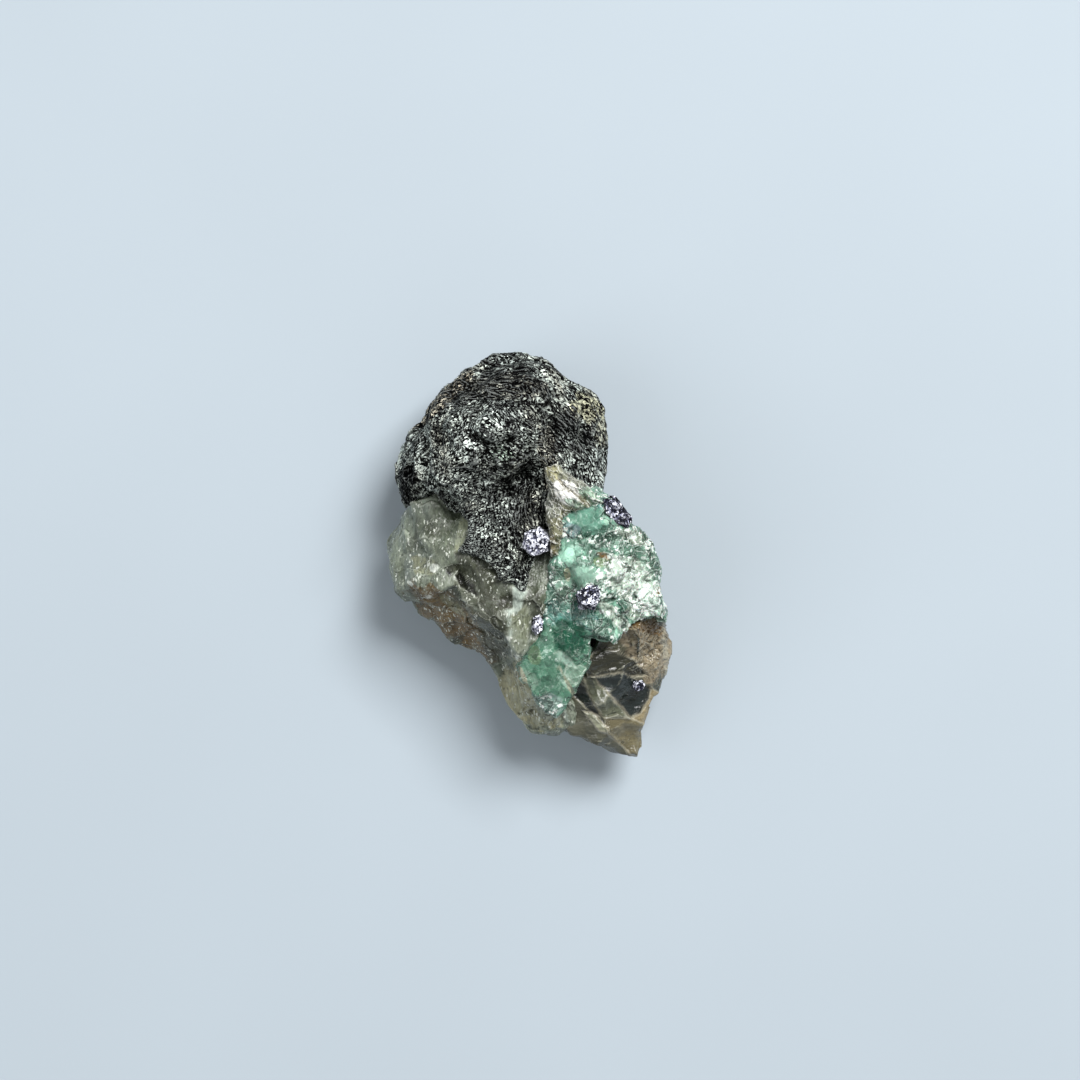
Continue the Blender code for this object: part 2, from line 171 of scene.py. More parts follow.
def sums(tree, operation, *values, kind="ShaderNodeMath"):
    """One Math node, or one Vector Math node."""
    node = tree.nodes.new(kind)
    node.operation = operation
    for socket, value in zip(node.inputs, values):
        wire(tree, socket, value)
    return node.outputs[0]


def vector_sums(tree, operation, *values):
    """One Vector Math node."""
    return sums(tree, operation, *values, kind="ShaderNodeVectorMath")


def ramp(tree, value, stops):
    """A colour for each value, between stops of (place, colour)."""
    node = tree.nodes.new("ShaderNodeValToRGB")
    wire(tree, node.inputs[0], value)
    while len(node.color_ramp.elements) < len(stops):
        node.color_ramp.elements.new(0.5)
    for element, (place, colour) in zip(node.color_ramp.elements, stops):
        element.position = place
        element.color = (*colour, 1.0) if hasattr(colour, "__len__") else (colour, colour, colour, 1.0)
    return node.outputs[0]


def one_channel(tree, colour, channel=0):
    """Red, green or blue of a colour alone."""
    node = tree.nodes.new("ShaderNodeSeparateColor")
    wire(tree, node.inputs[0], colour)
    return node.outputs[channel]


def wavered(tree, place, size, shift):
    """Places moved about by soft noise of a size, by up to half the shift to each side."""
    node = tree.nodes.new("ShaderNodeTexNoise")
    wire(tree, node.inputs["Vector"], place)
    node.inputs["Scale"].default_value = 1 / size
    return vector_sums(tree, "MULTIPLY_ADD", node.outputs["Color"], (shift, shift, shift), place)


def tilted_flakes(tree, colours, tilt, under=None):
    """A surface direction that leans flake by flake: the direction plus its random colour, less a half."""
    if under is None:
        under = tree.nodes.new("ShaderNodeNewGeometry").outputs["Normal"]
    lean = vector_sums(tree, "MULTIPLY_ADD", colours, (tilt, tilt, tilt), (-tilt / 2, -tilt / 2, -tilt / 2))
    return vector_sums(tree, "NORMALIZE", vector_sums(tree, "ADD", lean, under))


def mica_finish():
    """Violet-black mica with white glints painted into its colour, each fine flake leaning its own way."""
    material, tree, shader = new_finish("violet_black_mica")
    flakes = grains(tree, wavered(tree, in_millimetres(tree), 0.5, 0.2), 0.2)
    chance = one_channel(tree, flakes)
    patch = cloud(tree, in_millimetres(tree), 1.3, 4.0, 0.65)
    light = sums(tree, "MULTIPLY_ADD", patch, 1.6, sums(tree, "ADD", chance, -0.82))
    light = sums(tree, "ADD", light, painted_layer(tree, "glint", "Fac"))
    # painted glints: the lightest flakes are coloured white
    colour = ramp(tree, light, [
        (0.0, pigment(MICA_NIGHT) * 0.5), (0.30, pigment(MICA_NIGHT)), (0.48, pigment(MICA_VIOLET)),
        (0.62, pigment(MICA_GLINT) * 0.6), (0.78, pigment(MICA_GLINT)),
    ])
    wire(tree, shader.inputs["Base Color"], colour)
    wire(tree, shader.inputs["Roughness"], sums(tree, "MULTIPLY_ADD", chance, 0.25, 0.16))
    shader.inputs["Metallic"].default_value = 0.25
    wire(tree, shader.inputs["Normal"], tilted_flakes(tree, flakes, 0.9))
    return material


def book_surface(place, half_length, half_width, height, heading, lean, seed):
    """The stack as rings: sheet s has two rings at heights s and s + 1 of SHEETS. A ring is a hexagon, of
    radius cos 30 / cos(angle from the middle of its side), chipped by noise and narrower sheet by sheet."""
    angle = np.linspace(0, 2 * np.pi, RING_POINTS, endpoint=False)
    hexagon = np.cos(np.pi / 6) / np.cos(np.mod(angle, np.pi / 3) - np.pi / 6)
    sheet = np.repeat(np.arange(SHEETS), 2)
    level = (sheet + np.tile([0, 1], SHEETS)) / SHEETS
    spread = np.concatenate([[0.0], np.ones(2 * SHEETS), [0.72, 0.42, 0.0]])
    sheet = np.concatenate([[0], sheet, [SHEETS - 1] * 3])
    level = np.concatenate([[0.0], level, [1.0] * 3])
    around = np.tile(np.column_stack([np.cos(angle), np.sin(angle)]), (len(sheet), 1))
    chips = rough_noise(np.column_stack([around * 2, np.repeat(sheet * 1.7, RING_POINTS)]), 1.3, seed, 3)
    chips = chips.reshape(len(sheet), RING_POINTS)
    radius = spread[:, None] * hexagon * (1 - BOOK_TAPER * (sheet / SHEETS)[:, None]) * (1 + 0.10 * chips)
    flat = around * radius.reshape(-1, 1) * (half_length, half_width)
    level = np.repeat(level, RING_POINTS)
    crumple = np.repeat(spread < 1, RING_POINTS) * level
    upward = level * height + 0.12 * crumple * soft_noise(np.column_stack([flat, flat[:, 0]]), 0.6, seed)
    lean, heading = np.radians(lean), np.radians(heading)
    across = flat[:, 1] * np.cos(lean) - upward * np.sin(lean)
    upward = flat[:, 1] * np.sin(lean) + upward * np.cos(lean)
    points = np.column_stack([
        flat[:, 0] * np.cos(heading) - across * np.sin(heading),
        flat[:, 0] * np.sin(heading) + across * np.cos(heading),
        upward,
    ]) + place
    return points.reshape(len(sheet), RING_POINTS, 3)


def closed_rings(rings):
    """The points and outward walls of rings stacked from pole to pole, whose first and last ring are one
    point each, and the numbers of the lowest and the highest ring that are whole."""
    rows, columns = rings.shape[:2]
    points = np.concatenate([rings[0, :1], rings[1:-1].reshape(-1, 3), rings[-1, :1]])
    number = 1 + np.arange((rows - 2) * columns).reshape(rows - 2, columns)
    low, high = number[:-1], number[1:]
    walls = np.stack([low, np.roll(low, -1, 1), np.roll(high, -1, 1), high], axis=-1).reshape(-1, 4)
    return points, walls, number[0], number[-1]


book_finish = mica_finish()
for seed, (name, (place, *sizes, glint)) in enumerate(MICA_BOOKS.items(), 70):
    points, walls, lowest, highest = closed_rings(book_surface(place, *sizes, seed))
    fans = np.concatenate([
        np.column_stack([np.roll(lowest, -1), lowest, np.zeros_like(lowest)]),
        np.column_stack([highest, np.roll(highest, -1), np.full_like(highest, len(points) - 1)]),
    ])
    mesh = bpy.data.meshes.new(f"{name}_sheets")
    mesh.from_pydata((points - STONE_MIDDLE) * MM, [], walls.tolist() + fans.tolist())
    book = in_scene(f"{name}_sheets", mesh)
    paint(book, "glint", np.full(len(points), glint))
    book.data.materials.append(book_finish)
    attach(book, "root")
    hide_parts(name)

# Feldspar seam. A cream head and a thin olive strip of blocky feldspar along the schist's lower edge, split
# into small steps by its cleavage. It grew against the mica and holds the emerald to the schist.
FELDSPAR_HEAD = dict(
    # A lump is described as it lies, seen from above. Its middle sees all of its outline. Tops and floors
    # are (x, y, height), belt is how far up from floor to top its widest line runs, and less fullness is
    # boxier. Dents are (x, y, half length, half width, direction, depth). Cuts are flat breaks with a place
    # and an outward normal, and bowls with a middle and a radius. Rough is how wavy the surface is.
    outline=[
        (1.5, 9.7), (2.6, 10.0), (4.1, 9.3), (5.4, 8.1), (6.8, 7.1), (7.9, 6.3), (6.3, 5.7),
        (5.4, 5.6), (4.3, 5.0), (3.4, 4.3), (1.7, 5.0), (2.0, 7.2),
    ],
    middle=(3.4, 7.2),
    tops=[(2.2, 8.8, 18.4), (4.0, 7.8, 18.8), (7.0, 6.4, 18.2), (2.2, 5.6, 17.8)],
    floors=[(4.0, 7.0, 14.0)],
    belt=0.5,
    fullness=(0.66, 0.50),
    dents=[(4.6, 7.4, 2.4, 0.35, -40, 0.5)],
    cuts=[],
    rough=0.5,
)
FELDSPAR_STRIP = dict(
    outline=[(1.7, 5.6), (3.2, 5.6), (3.3, 2.6), (2.9, 0.2), (2.2, 0.0), (2.2, 2.4)],
    middle=(2.6, 2.9),
    tops=[(2.5, 5.0, 17.8), (2.7, 2.6, 17.9), (2.6, 0.4, 17.6)],
    floors=[(2.6, 3.0, 15.0)],
    belt=0.5,
    fullness=(0.66, 0.50),
    dents=[],
    cuts=[],
    rough=0.4,
)
FELDSPAR_COLOURS = {
    "ground": (150, 152, 128), "shade": (98, 100, 78), "light": (204, 205, 184), "white": (252, 252, 246),
    "olive": (116, 116, 88), "brown": (118, 108, 76), "yellowish": (168, 165, 128),
    # groove is the painted shade down in the grooves
    "green": (140, 172, 148), "grey": (118, 122, 112), "edge": (248, 248, 240), "groove": (92, 88, 66),
}
FELDSPAR_PATCHES = [
    # x, y, half length, half width, direction, colour, strength
    (3.8, 7.0, 1.5, 1.0, -45, "white", 1.0), (2.6, 2.2, 1.2, 3.4, 0, "olive", 1.0),
    (3.1, 8.3, 1.44, 0.14, -50, "brown", 0.8), (2.1, 9.2, 0.8, 0.8, 0, "yellowish", 0.9),
    (5.1, 6.6, 1.33, 0.12, -40, "brown", 0.7), (6.6, 6.6, 1.4, 0.7, -30, "green", 0.9),
    (1.9, 7.0, 0.5, 1.5, 5, "grey", 0.9), (2.3, 5.4, 0.9, 0.9, 0, "grey", 0.8),
    (2.2, 1.0, 0.4, 1.6, 0, "brown", 0.8), (4.6, 8.6, 1.6, 0.3, -42, "grey", 0.7),
    (4.6, 5.9, 1.0, 0.35, -20, "green", 0.8),
]


def blended(spots, x, y):
    """Heights between the spots (x, y, height): each counts by the inverse fourth power of its distance."""
    total = np.zeros_like(x)
    weights = np.zeros_like(x)
    for spot_x, spot_y, height in spots:
        weight = 1.0 / ((x - spot_x) ** 2 + (y - spot_y) ** 2 + 0.6) ** 2
        total += weight * height
        weights += weight
    return total / weights


def in_oval(x, y, oval_x, oval_y, half_length, half_width, direction):
    """Distances along and across a turned oval, as shares of its half length and its half width."""
    turn = np.radians(direction)
    along = (x - oval_x) * np.cos(turn) + (y - oval_y) * np.sin(turn)
    across = (y - oval_y) * np.cos(turn) - (x - oval_x) * np.sin(turn)
    return along / half_length, across / half_width


def dented(dents, x, y):
    """How far the dents lower the upper surface: each is a smooth oval hollow."""
    depth = np.zeros_like(x)
    for *oval, deep in dents:
        along, across = in_oval(x, y, *oval)
        depth += deep * np.exp(-(along**2) - across**2)
    return depth


def reach(lump, angle):
    """Distance from the lump's middle to its outline along each angle, with straight sides in between."""
    corners = np.array(lump["outline"]) - lump["middle"]
    share = np.linspace(0, 1, 12, endpoint=False)[:, None]
    points = (corners[:, None] * (1 - share) + np.roll(corners, -1, axis=0)[:, None] * share).reshape(-1, 2)
    angles = np.arctan2(points[:, 1], points[:, 0])
    order = np.argsort(angles)
    return np.interp(angle, angles[order], np.hypot(*points.T)[order], period=2 * np.pi)


def cut_back(points, cuts):
    """Moves what stands past a flat break onto it, and what lies inside a bowl out to its wall."""
    for kind, place, value in cuts:
        away = points - np.array(place)
        if kind == "flat":
            normal = np.array(value) / np.linalg.norm(value)
            points = points - np.maximum(away @ normal, 0)[:, None] * normal
        else:
            distance = np.linalg.norm(away, axis=1, keepdims=True)
            points = np.where(distance < value, place + away * value / distance, points)
    return points


def ruffle(points, rough, seed):
    """A coarse waviness of the broken surface: a few slanted sine waves of falling height."""
    draw = np.random.default_rng(seed)
    shift = np.zeros_like(points)
    for length, height in ((7.0, 0.30), (4.0, 0.22), (2.4, 0.16)):
        for axis in range(3):
            heading = draw.normal(size=3)
            heading /= np.linalg.norm(heading)
            phase = draw.uniform(0, 2 * np.pi)
            shift[:, axis] += height * np.sin(points @ heading * 2 * np.pi / length + phase)
    return points + shift * rough


def lump_surface(directions, lump, seed):
    """Carries unit directions onto the lump: its outline in plan, and between its floor and its top a belt
    with a superellipse above and below it, whose exponents are the lump's fullness. Breaks and waviness
    come last."""
    east, north, up = directions.T
    plan = np.hypot(east, north)
    plan_power, height_power = lump["fullness"]
    out = plan**plan_power * reach(lump, np.arctan2(north, east)) / np.maximum(plan, 1e-9)
    x = lump["middle"][0] + east * out
    y = lump["middle"][1] + north * out
    top = blended(lump["tops"], x, y) - dented(lump["dents"], x, y)
    floor = blended(lump["floors"], x, y)
    belt = floor + lump["belt"] * (top - floor)
    z = belt + np.abs(up) ** height_power * np.where(up > 0, top - belt, floor - belt)
    return ruffle(cut_back(np.column_stack([x, y, z]), lump["cuts"]), lump["rough"], seed)


def ball_of_cells(cells, gather=0.66):
    """Unit directions and outward faces of six square patches of cells x cells: lattice points on a cube,
    spread by the tangent of an eighth of a turn times their place and brought to length 1. Shared points
    are one. Seen flat from the lowest point, the ball is then shrunk by gather, which makes the cells finer
    on top."""
    u, v = (side.ravel() for side in np.meshgrid(np.arange(cells + 1), np.arange(cells + 1), indexing="ij"))
    low, high = np.zeros_like(u), np.full_like(u, cells)
    sides = ((u, v, high), (v, u, low), (high, u, v), (low, v, u), (v, high, u), (u, low, v))
    lattice = np.concatenate([np.column_stack(side) for side in sides])
    lattice, number = np.unique(lattice, axis=0, return_inverse=True)
    number = number.reshape(6, cells + 1, cells + 1)
    corners = (number[:, :-1, :-1], number[:, 1:, :-1], number[:, 1:, 1:], number[:, :-1, 1:])
    spread = np.tan((2 * lattice / cells - 1) * np.pi / 4)
    east, north, up = (spread / np.linalg.norm(spread, axis=1, keepdims=True)).T
    flat = gather * np.column_stack([east, north]) / np.maximum(1 + up, 1e-9)[:, None]
    square = np.sum(flat**2, axis=1)[:, None]
    return np.hstack([2 * flat, 1 - square]) / (1 + square), np.stack(corners, axis=-1).reshape(-1, 4)


def facings(points, faces):
    """The outward direction at each point: the mean of the directions of the faces around it."""
    first, second, third, fourth = (points[faces[:, corner]] for corner in range(4))
    across = np.cross(third - first, fourth - second)
    summed = np.column_stack([
        np.bincount(faces.ravel(), np.repeat(across[:, axis], 4), len(points)) for axis in range(3)
    ])
    return summed / np.maximum(np.linalg.norm(summed, axis=1, keepdims=True), 1e-12)


def edges_and_grooves(points, faces, facing):
    """How sharply the surface bends at each point: how far the point stands out of the mean of the faces
    round it, as a share of their size. It is brought to 0 in a deep groove, a half on the flat and 1 on a
    sharp edge."""
    middles = points[faces].mean(axis=1)
    sizes = np.linalg.norm(points[faces[:, 0]] - points[faces[:, 2]], axis=1)
    corners = faces.ravel()
    count = np.bincount(corners, minlength=len(points))
    around = np.column_stack([np.bincount(corners, np.repeat(middles[:, axis], 4)) for axis in range(3)])
    size = np.bincount(corners, np.repeat(sizes, 4)) / count
    stands = np.sum((points - around / count[:, None]) * facing, axis=1) / size
    return np.clip(0.5 + 2.2 * stands, 0, 1)


def broken_facets(points, size, seed):
    """Small flat breaks: each place belongs to the nearest of scattered sites, one per lattice cell, and
    rises on a plane through that site that leans at random. Gives the rise as a share of the size, how far
    the border is, from 0 on it to 1 away from it, and a random number of the site."""
    place = points / size
    base = np.floor(place).astype(np.int64)
    nearest = np.full(len(points), 9.0)
    second = np.full(len(points), 9.0)
    home = base.copy()
    for step in np.ndindex(3, 3, 3):
        cell = base + step - 1
        site = cell + np.stack([steady_random(cell, seed + axis) for axis in range(3)], axis=-1)
        distance = np.linalg.norm(place - site, axis=1)
        closer = distance < nearest
        second = np.where(closer, nearest, np.minimum(second, distance))
        nearest = np.minimum(nearest, distance)
        home[closer] = cell[closer]
    site = home + np.stack([steady_random(home, seed + axis) for axis in range(3)], axis=-1)
    lean = np.stack([steady_random(home, seed + 10 + axis) for axis in range(3)], axis=-1) - 0.5
    rise = np.sum((place - site) * lean, axis=1)
    return rise, np.clip((second - nearest) / 0.2, 0, 1), steady_random(home, seed + 20)


def stone_mesh(name, points, faces):
    """A smooth-shaded piece of four-cornered faces, from points in millimetres, which rides on the stone."""
    mesh = bpy.data.meshes.new(name)
    mesh.vertices.add(len(points))
    mesh.vertices.foreach_set("co", ((points - STONE_MIDDLE) * MM).astype(np.float32).ravel())
    mesh.loops.add(faces.size)
    mesh.loops.foreach_set("vertex_index", faces.astype(np.int32).ravel())
    mesh.polygons.add(len(faces))
    mesh.polygons.foreach_set("loop_start", np.arange(0, faces.size, 4, dtype=np.int32))
    mesh.polygons.foreach_set("use_smooth", np.ones(len(faces), dtype=bool))
    mesh.update(calc_edges=True)
    piece = in_scene(name, mesh)
    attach(piece, "root")
    return piece


def mottled(points, facing, colours, patches, seed, ragged=0.35, soft=0.25):
    """Colour over a piece: its ground colour clouded with its shade and its light, then each oval patch on
    top. A patch fades over its soft, ragged border, and fades out where the surface turns down."""
    palette = {name: pigment(colour) for name, colour in colours.items()}
    clouds = np.clip(rough_noise(points, 3.2, seed) * 0.9, -1, 1)[:, None]
    ground, shade, light = (palette[name] for name in ("ground", "shade", "light"))
    colour = ground + np.where(clouds > 0, clouds * (light - ground), -clouds * (shade - ground))
    border = ragged * rough_noise(points, 1.1, seed + 9, 5)
    upward = np.clip(facing[:, 2] * 2.5 + 0.4, 0, 1)
    for *oval, name, strength in patches:
        along, across = in_oval(points[:, 0], points[:, 1], *oval)
        share = np.clip((1.1 + soft / 2 - np.hypot(along, across) + border) / soft, 0, 1)
        share = (strength * upward * share * share * (3 - 2 * share))[:, None]
        colour = colour * (1 - share) + palette[name] * share
    return colour


def feldspar_relief(points, facing):
    """Cleavage steps: facets stretched along the seam, with finer ones on them. Also gives each step's
    tone, darkened with painted shade along the borders of the fine steps."""
    x, y, z = points.T
    turned = np.column_stack([x + y, (y - x) * 0.45, z * 1.4])
    coarse, _, chance = broken_facets(turned, 1.1, 301)
    fine, near, second_chance = broken_facets(turned, 0.5, 302)
    # painted shade: a quarter darker along the borders of the fine steps
    tone = (0.55 + 0.45 * chance + 0.45 * second_chance) * (0.75 + 0.25 * near)
    height = 0.55 * coarse + 0.26 * fine + 0.08 * rough_noise(points, 0.7, 303)
    return points + facing * height[:, None], tone


def mixed(tree, share, first, second, blend="MIX"):
    """One colour Mix node."""
    node = tree.nodes.new("ShaderNodeMix")
    node.data_type = "RGBA"
    node.blend_type = blend
    wire(tree, node.inputs[0], share)
    wire(tree, node.inputs[6], first)
    wire(tree, node.inputs[7], second)
    return node.outputs[2]


def relief(tree, height, deep):
    """Fine relief of the surface, deep millimetres from its lowest to its highest."""
    node = tree.nodes.new("ShaderNodeBump")
    node.inputs["Strength"].default_value = 1.0
    node.inputs["Distance"].default_value = deep * MM
    wire(tree, node.inputs["Height"], height)
    return node.outputs["Normal"]


def covered(tree, share, colour, shade):
    """A colour covered with a share of a shade on the screen's scale."""
    return mixed(tree, share, colour, pigment(shade))


def pale_edges_shaded_grooves(tree, colour, colours, edge_share, groove_share):
    """A colour paler along the sharp edges of the broken surface, and darker by painted shade in its
    grooves.
    """
    edge = painted_layer(tree, "edge", "Fac")
    pale = ramp(tree, edge, [(0.60, 0.0), (0.82, edge_share)])
    # painted shade: darker down in the grooves, where the shadow falls
    groove_shade = ramp(tree, edge, [(0.16, groove_share), (0.42, 0.0)])
    return covered(tree, groove_shade, covered(tree, pale, colour, colours["edge"]), colours["groove"])


def feldspar_finish():
    """Cream feldspar: its painted colour, clouded and flecked, with fine cleavage and a pearly gloss."""
    material, tree, shader = new_finish("cream_feldspar")
    place = in_millimetres(tree)
    flecks = grains(tree, in_millimetres(tree, (0.5, 1.0, 0.6), 45), 0.5)
    shade = ramp(tree, one_channel(tree, flecks), [(0.0, 0.30), (0.22, 0.85), (0.8, 1.05), (1.0, 1.25)])
    colour = mixed(tree, 1.0, painted_layer(tree, "tint"), shade, "MULTIPLY")
    colour = pale_edges_shaded_grooves(tree, colour, FELDSPAR_COLOURS, 0.7, 0.8)
    wire(tree, shader.inputs["Base Color"], colour)
    wire(tree, shader.inputs["Roughness"], sums(tree, "MULTIPLY_ADD", cloud(tree, place, 0.5), 0.4, 0.22))
    shader.inputs["Subsurface Weight"].default_value = 0.10
    shader.inputs["Subsurface Radius"].default_value = (0.8 * MM, 0.7 * MM, 0.5 * MM)
    fine = relief(tree, cloud(tree, place, 0.25, 4.0), 0.12)
    wire(tree, shader.inputs["Normal"], tilted_flakes(tree, flecks, 0.45, fine))
    return material


seam_finish = feldspar_finish()
for name, lump, seed, cells in (
    ("feldspar_head", FELDSPAR_HEAD, 31, 60), ("feldspar_strip", FELDSPAR_STRIP, 32, 44),
):
    directions, faces = ball_of_cells(cells)
    points = lump_surface(directions, lump, seed)
    points, tone = feldspar_relief(points, facings(points, faces))
    facing = facings(points, faces)
    seam = stone_mesh(name, points, faces)
    tint = mottled(points, facing, FELDSPAR_COLOURS, FELDSPAR_PATCHES, 311, ragged=0.25)
    paint(seam, "tint", tint * tone[:, None], "FLOAT_COLOR")
    paint(seam, "edge", edges_and_grooves(points, faces, facing))
    seam.data.materials.append(seam_finish)
    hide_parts("feldspar_seam")

# Emerald. A crushed mint-green block with the mica books in it, and below it a smoother, deeper green prism
# that runs down to the splintered end. Both are one crystal mass, cracked into granules and stained along
# its cracks.
EMERALD_BLOCK = dict(
    outline=[
        (2.2, 7.4), (3.5, 8.4), (5.5, 7.9), (8.4, 6.6), (9.5, 5.0), (10.6, 3.7), (11.9, 3.3),
        (13.3, 1.6), (13.9, -0.8), (14.3, -3.2), (14.5, -5.7), (14.7, -7.1), (13.1, -6.4), (11.8, -7.0),
        (10.5, -8.3), (9.3, -9.3), (7.8, -9.2), (6.4, -8.8), (3.7, -8.6), (1.9, -6.6), (1.4, -3.9),
        (1.8, -1.0), (2.7, 0.8), (3.1, 3.2), (2.4, 5.4),
    ],
    middle=(7.9, -0.8),
    tops=[
        (4.4, 5.0, 17.2), (8.4, 4.0, 18.0), (12.2, 0.4, 17.0), (13.2, -4.0, 16.6), (8.0, -2.0, 18.6),
        (4.2, 0.4, 17.6), (3.0, -4.4, 16.4), (8.0, -7.4, 17.0), (12.4, -6.0, 16.0), (5.2, 8.0, 17.2),
    ],
    floors=[(7.9, -1.0, 6.5), (12.6, 0.0, 8.2), (4.6, -6.4, 9.0), (5.6, 7.4, 10.0), (12.8, -6.0, 9.4)],
    belt=0.62,
    fullness=(0.64, 0.46),
    dents=[(9.4, -3.6, 3.2, 0.6, 60, 0.5), (4.2, -2.6, 2.6, 0.6, 110, 0.6), (6.6, 2.6, 2.4, 0.5, 20, 0.5)],
    cuts=[
        ("flat", (12.8, 1.6, 16.6), (0.56, 0.36, 0.74)),
        ("flat", (13.8, -4.6, 15.8), (0.66, -0.10, 0.74)),
        ("flat", (3.4, -5.4, 16.2), (-0.40, -0.22, 0.89)),
    ],
    rough=0.55,
)
EMERALD_PRISM = dict(
    outline=[
        (1.4, -5.2), (3.5, -4.1), (5.9, -5.2), (6.4, -8.3), (6.6, -10.3), (6.1, -12.3), (4.8, -14.3),
        (3.7, -16.0), (2.7, -17.4), (1.3, -17.0), (0.4, -15.7), (-0.1, -14.4), (-1.1, -13.4),
        (-1.4, -11.9), (-0.2, -9.8), (0.9, -8.3),
    ],
    middle=(2.6, -11.9),
    tops=[(0.0, -11.0, 15.8), (5.0, -9.0, 16.2), (5.2, -12.6, 14.6), (1.0, -13.6, 15.0), (2.2, -16.4, 13.6)],
    floors=[(2.6, -11.0, 9.0), (2.2, -16.0, 8.6)],
    belt=0.68,
    fullness=(0.55, 0.40),
    dents=[],
    cuts=[
        ("flat", (2.0, -12.4, 15.2), (-0.14, -0.28, 0.95)),
        ("flat", (5.2, -12.0, 14.6), (0.56, -0.22, 0.80)),
    ],
    rough=0.3,
)
EMERALD_COLOURS = {
    "ground": (122, 164, 142), "shade": (84, 128, 108), "light": (168, 198, 178), "teal": (94, 144, 124),
    "mint": (158, 205, 182), "pale_green": (150, 190, 168), "deep": (66, 112, 94),
    "deep_green": (26, 82, 60), "blue_teal": (80, 134, 124), "crushed": (204, 220, 202),
    "mint_white": (206, 228, 212), "olive": (126, 146, 106), "rust": (124, 92, 48),
    "cream": (196, 198, 164), "dark_green": (80, 108, 92), "sage": (172, 186, 164),
    "olive_grey": (104, 128, 110), "pit_shade": (84, 104, 102), "speckle": (116, 134, 142),
    "flake": (168, 198, 180), "pale": (122, 152, 132), "frost": (140, 164, 154), "beige": (166, 158, 134),
    "dull_green": (78, 124, 100), "fleck": (236, 244, 236), "dark_fleck": (50, 84, 66), "gap": (54, 84, 66),
    # groove is the painted shade down in the grooves
    "vein": (190, 212, 194), "edge": (222, 236, 224), "groove": (44, 66, 50),
}
EMERALD_PATCHES = [
    # x, y, half length, half width, direction, colour, strength
    (2.6, -12.4, 3.6, 4.6, 20, "dull_green", 0.9), (5.9, 4.3, 2.44, 1.89, -35, "teal", 0.85),
    (4.8, 5.7, 1.11, 0.56, -10, "mint", 0.8), (7.6, 5.9, 0.7, 0.5, 0, "blue_teal", 0.8),
    (3.7, 0.7, 1.56, 1.33, 0, "mint", 0.95), (5.5, -1.8, 1.56, 1.0, -10, "pale_green", 0.9),
    (1.9, -2.7, 0.56, 1.44, 10, "deep", 0.95), (4.1, -6.0, 3.0, 1.56, -12, "blue_teal", 0.85),
    (10.9, -2.2, 2.78, 1.89, -35, "crushed", 0.85), (12.5, -5.0, 1.67, 1.33, 0, "mint_white", 0.9),
    (9.3, -6.6, 2.22, 0.67, -45, "crushed", 0.8), (7.6, -0.4, 1.0, 0.56, 0, "olive", 0.9),
    (7.8, 0.2, 0.61, 0.33, -20, "rust", 0.95), (3.9, -1.8, 0.39, 0.72, 10, "cream", 0.95),
    (13.9, -3.8, 0.28, 0.5, 0, "rust", 0.95), (13.3, 0.4, 1.56, 0.56, -65, "dark_green", 0.85),
    (11.1, 2.3, 1.56, 0.67, -20, "sage", 0.8), (3.6, -4.1, 0.89, 0.89, 0, "olive_grey", 0.7),
    (7.9, -7.7, 2.67, 0.44, -20, "pale_green", 0.7), (11.1, -6.1, 1.11, 0.67, -20, "sage", 0.7),
    (4.2, 3.0, 0.89, 0.78, 0, "speckle", 0.7), (3.5, -5.2, 0.56, 0.56, 0, "mint", 0.5),
    # the grey-blue patch at (6.3, -4.9) is painted shade, darker where a small hollow is
    (6.3, -4.9, 0.67, 0.56, 0, "pit_shade", 0.6), (4.1, -8.6, 1.7, 1.7, 0, "deep_green", 0.95),
    (3.3, -11.6, 0.67, 0.78, 30, "deep_green", 0.7), (-0.3, -13.2, 1.11, 0.67, -50, "pale", 0.8),
    (4.9, -13.2, 0.89, 1.44, -20, "pale", 0.8), (1.8, -16.2, 1.33, 1.33, 0, "frost", 0.8),
    (0.3, -10.6, 0.67, 1.0, 0, "olive", 0.5), (3.5, -13.6, 1.0, 0.22, -45, "flake", 0.8),
    (-0.9, -13.2, 0.25, 1.2, 20, "beige", 0.7), (4.5, -14.8, 0.2, 2.6, 28, "beige", 0.6),
]
EMERALD_FACETS = [
    # corners, colour, strength, how pale the rim is
    ([(2.9, -8.0), (5.7, -7.6), (5.7, -9.5), (4.0, -10.5), (2.8, -9.8)], "deep_green", 0.8, 0.0),
    ([(3.9, -11.6), (6.0, -11.9), (4.9, -14.0), (3.5, -12.8)], "pale", 0.7, 0.4),
    ([(2.6, -10.3), (3.2, -10.2), (4.3, -11.2), (5.0, -12.0), (3.9, -11.8), (2.9, -11.0)],
     "flake", 0.8, 0.4),
]
SMOOTH_FACES = [
    # x, y, half length, half width, direction of where the crystal is whole and its granules fade
    (3.7, 0.7, 1.3, 1.1, 0), (5.5, -1.8, 1.4, 0.9, -10), (2.0, -11.8, 2.8, 3.6, 20),
    (5.9, 4.3, 1.6, 1.0, -35), (4.2, -8.6, 1.8, 1.8, 0),
]
CRUSHED_ZONES = [
    # x, y, half length, half width, direction, how much more (or less) the granules are crushed white
    (10.9, -2.2, 3.0, 2.1, -35, 0.85), (12.5, -5.0, 1.9, 1.5, 0, 0.8), (9.3, -6.6, 2.2, 0.7, -45, 0.6),
    (11.1, 2.3, 1.6, 0.8, -20, 0.5), (6.6, 6.4, 1.6, 0.6, -30, 0.4), (4.1, -5.6, 3.2, 2.0, -12, -0.35),
    (2.6, -11.4, 3.4, 4.2, 20, -0.6), (5.9, 4.3, 2.4, 1.8, -35, -0.35), (1.8, -16.2, 1.6, 1.3, 0, 0.5),
]


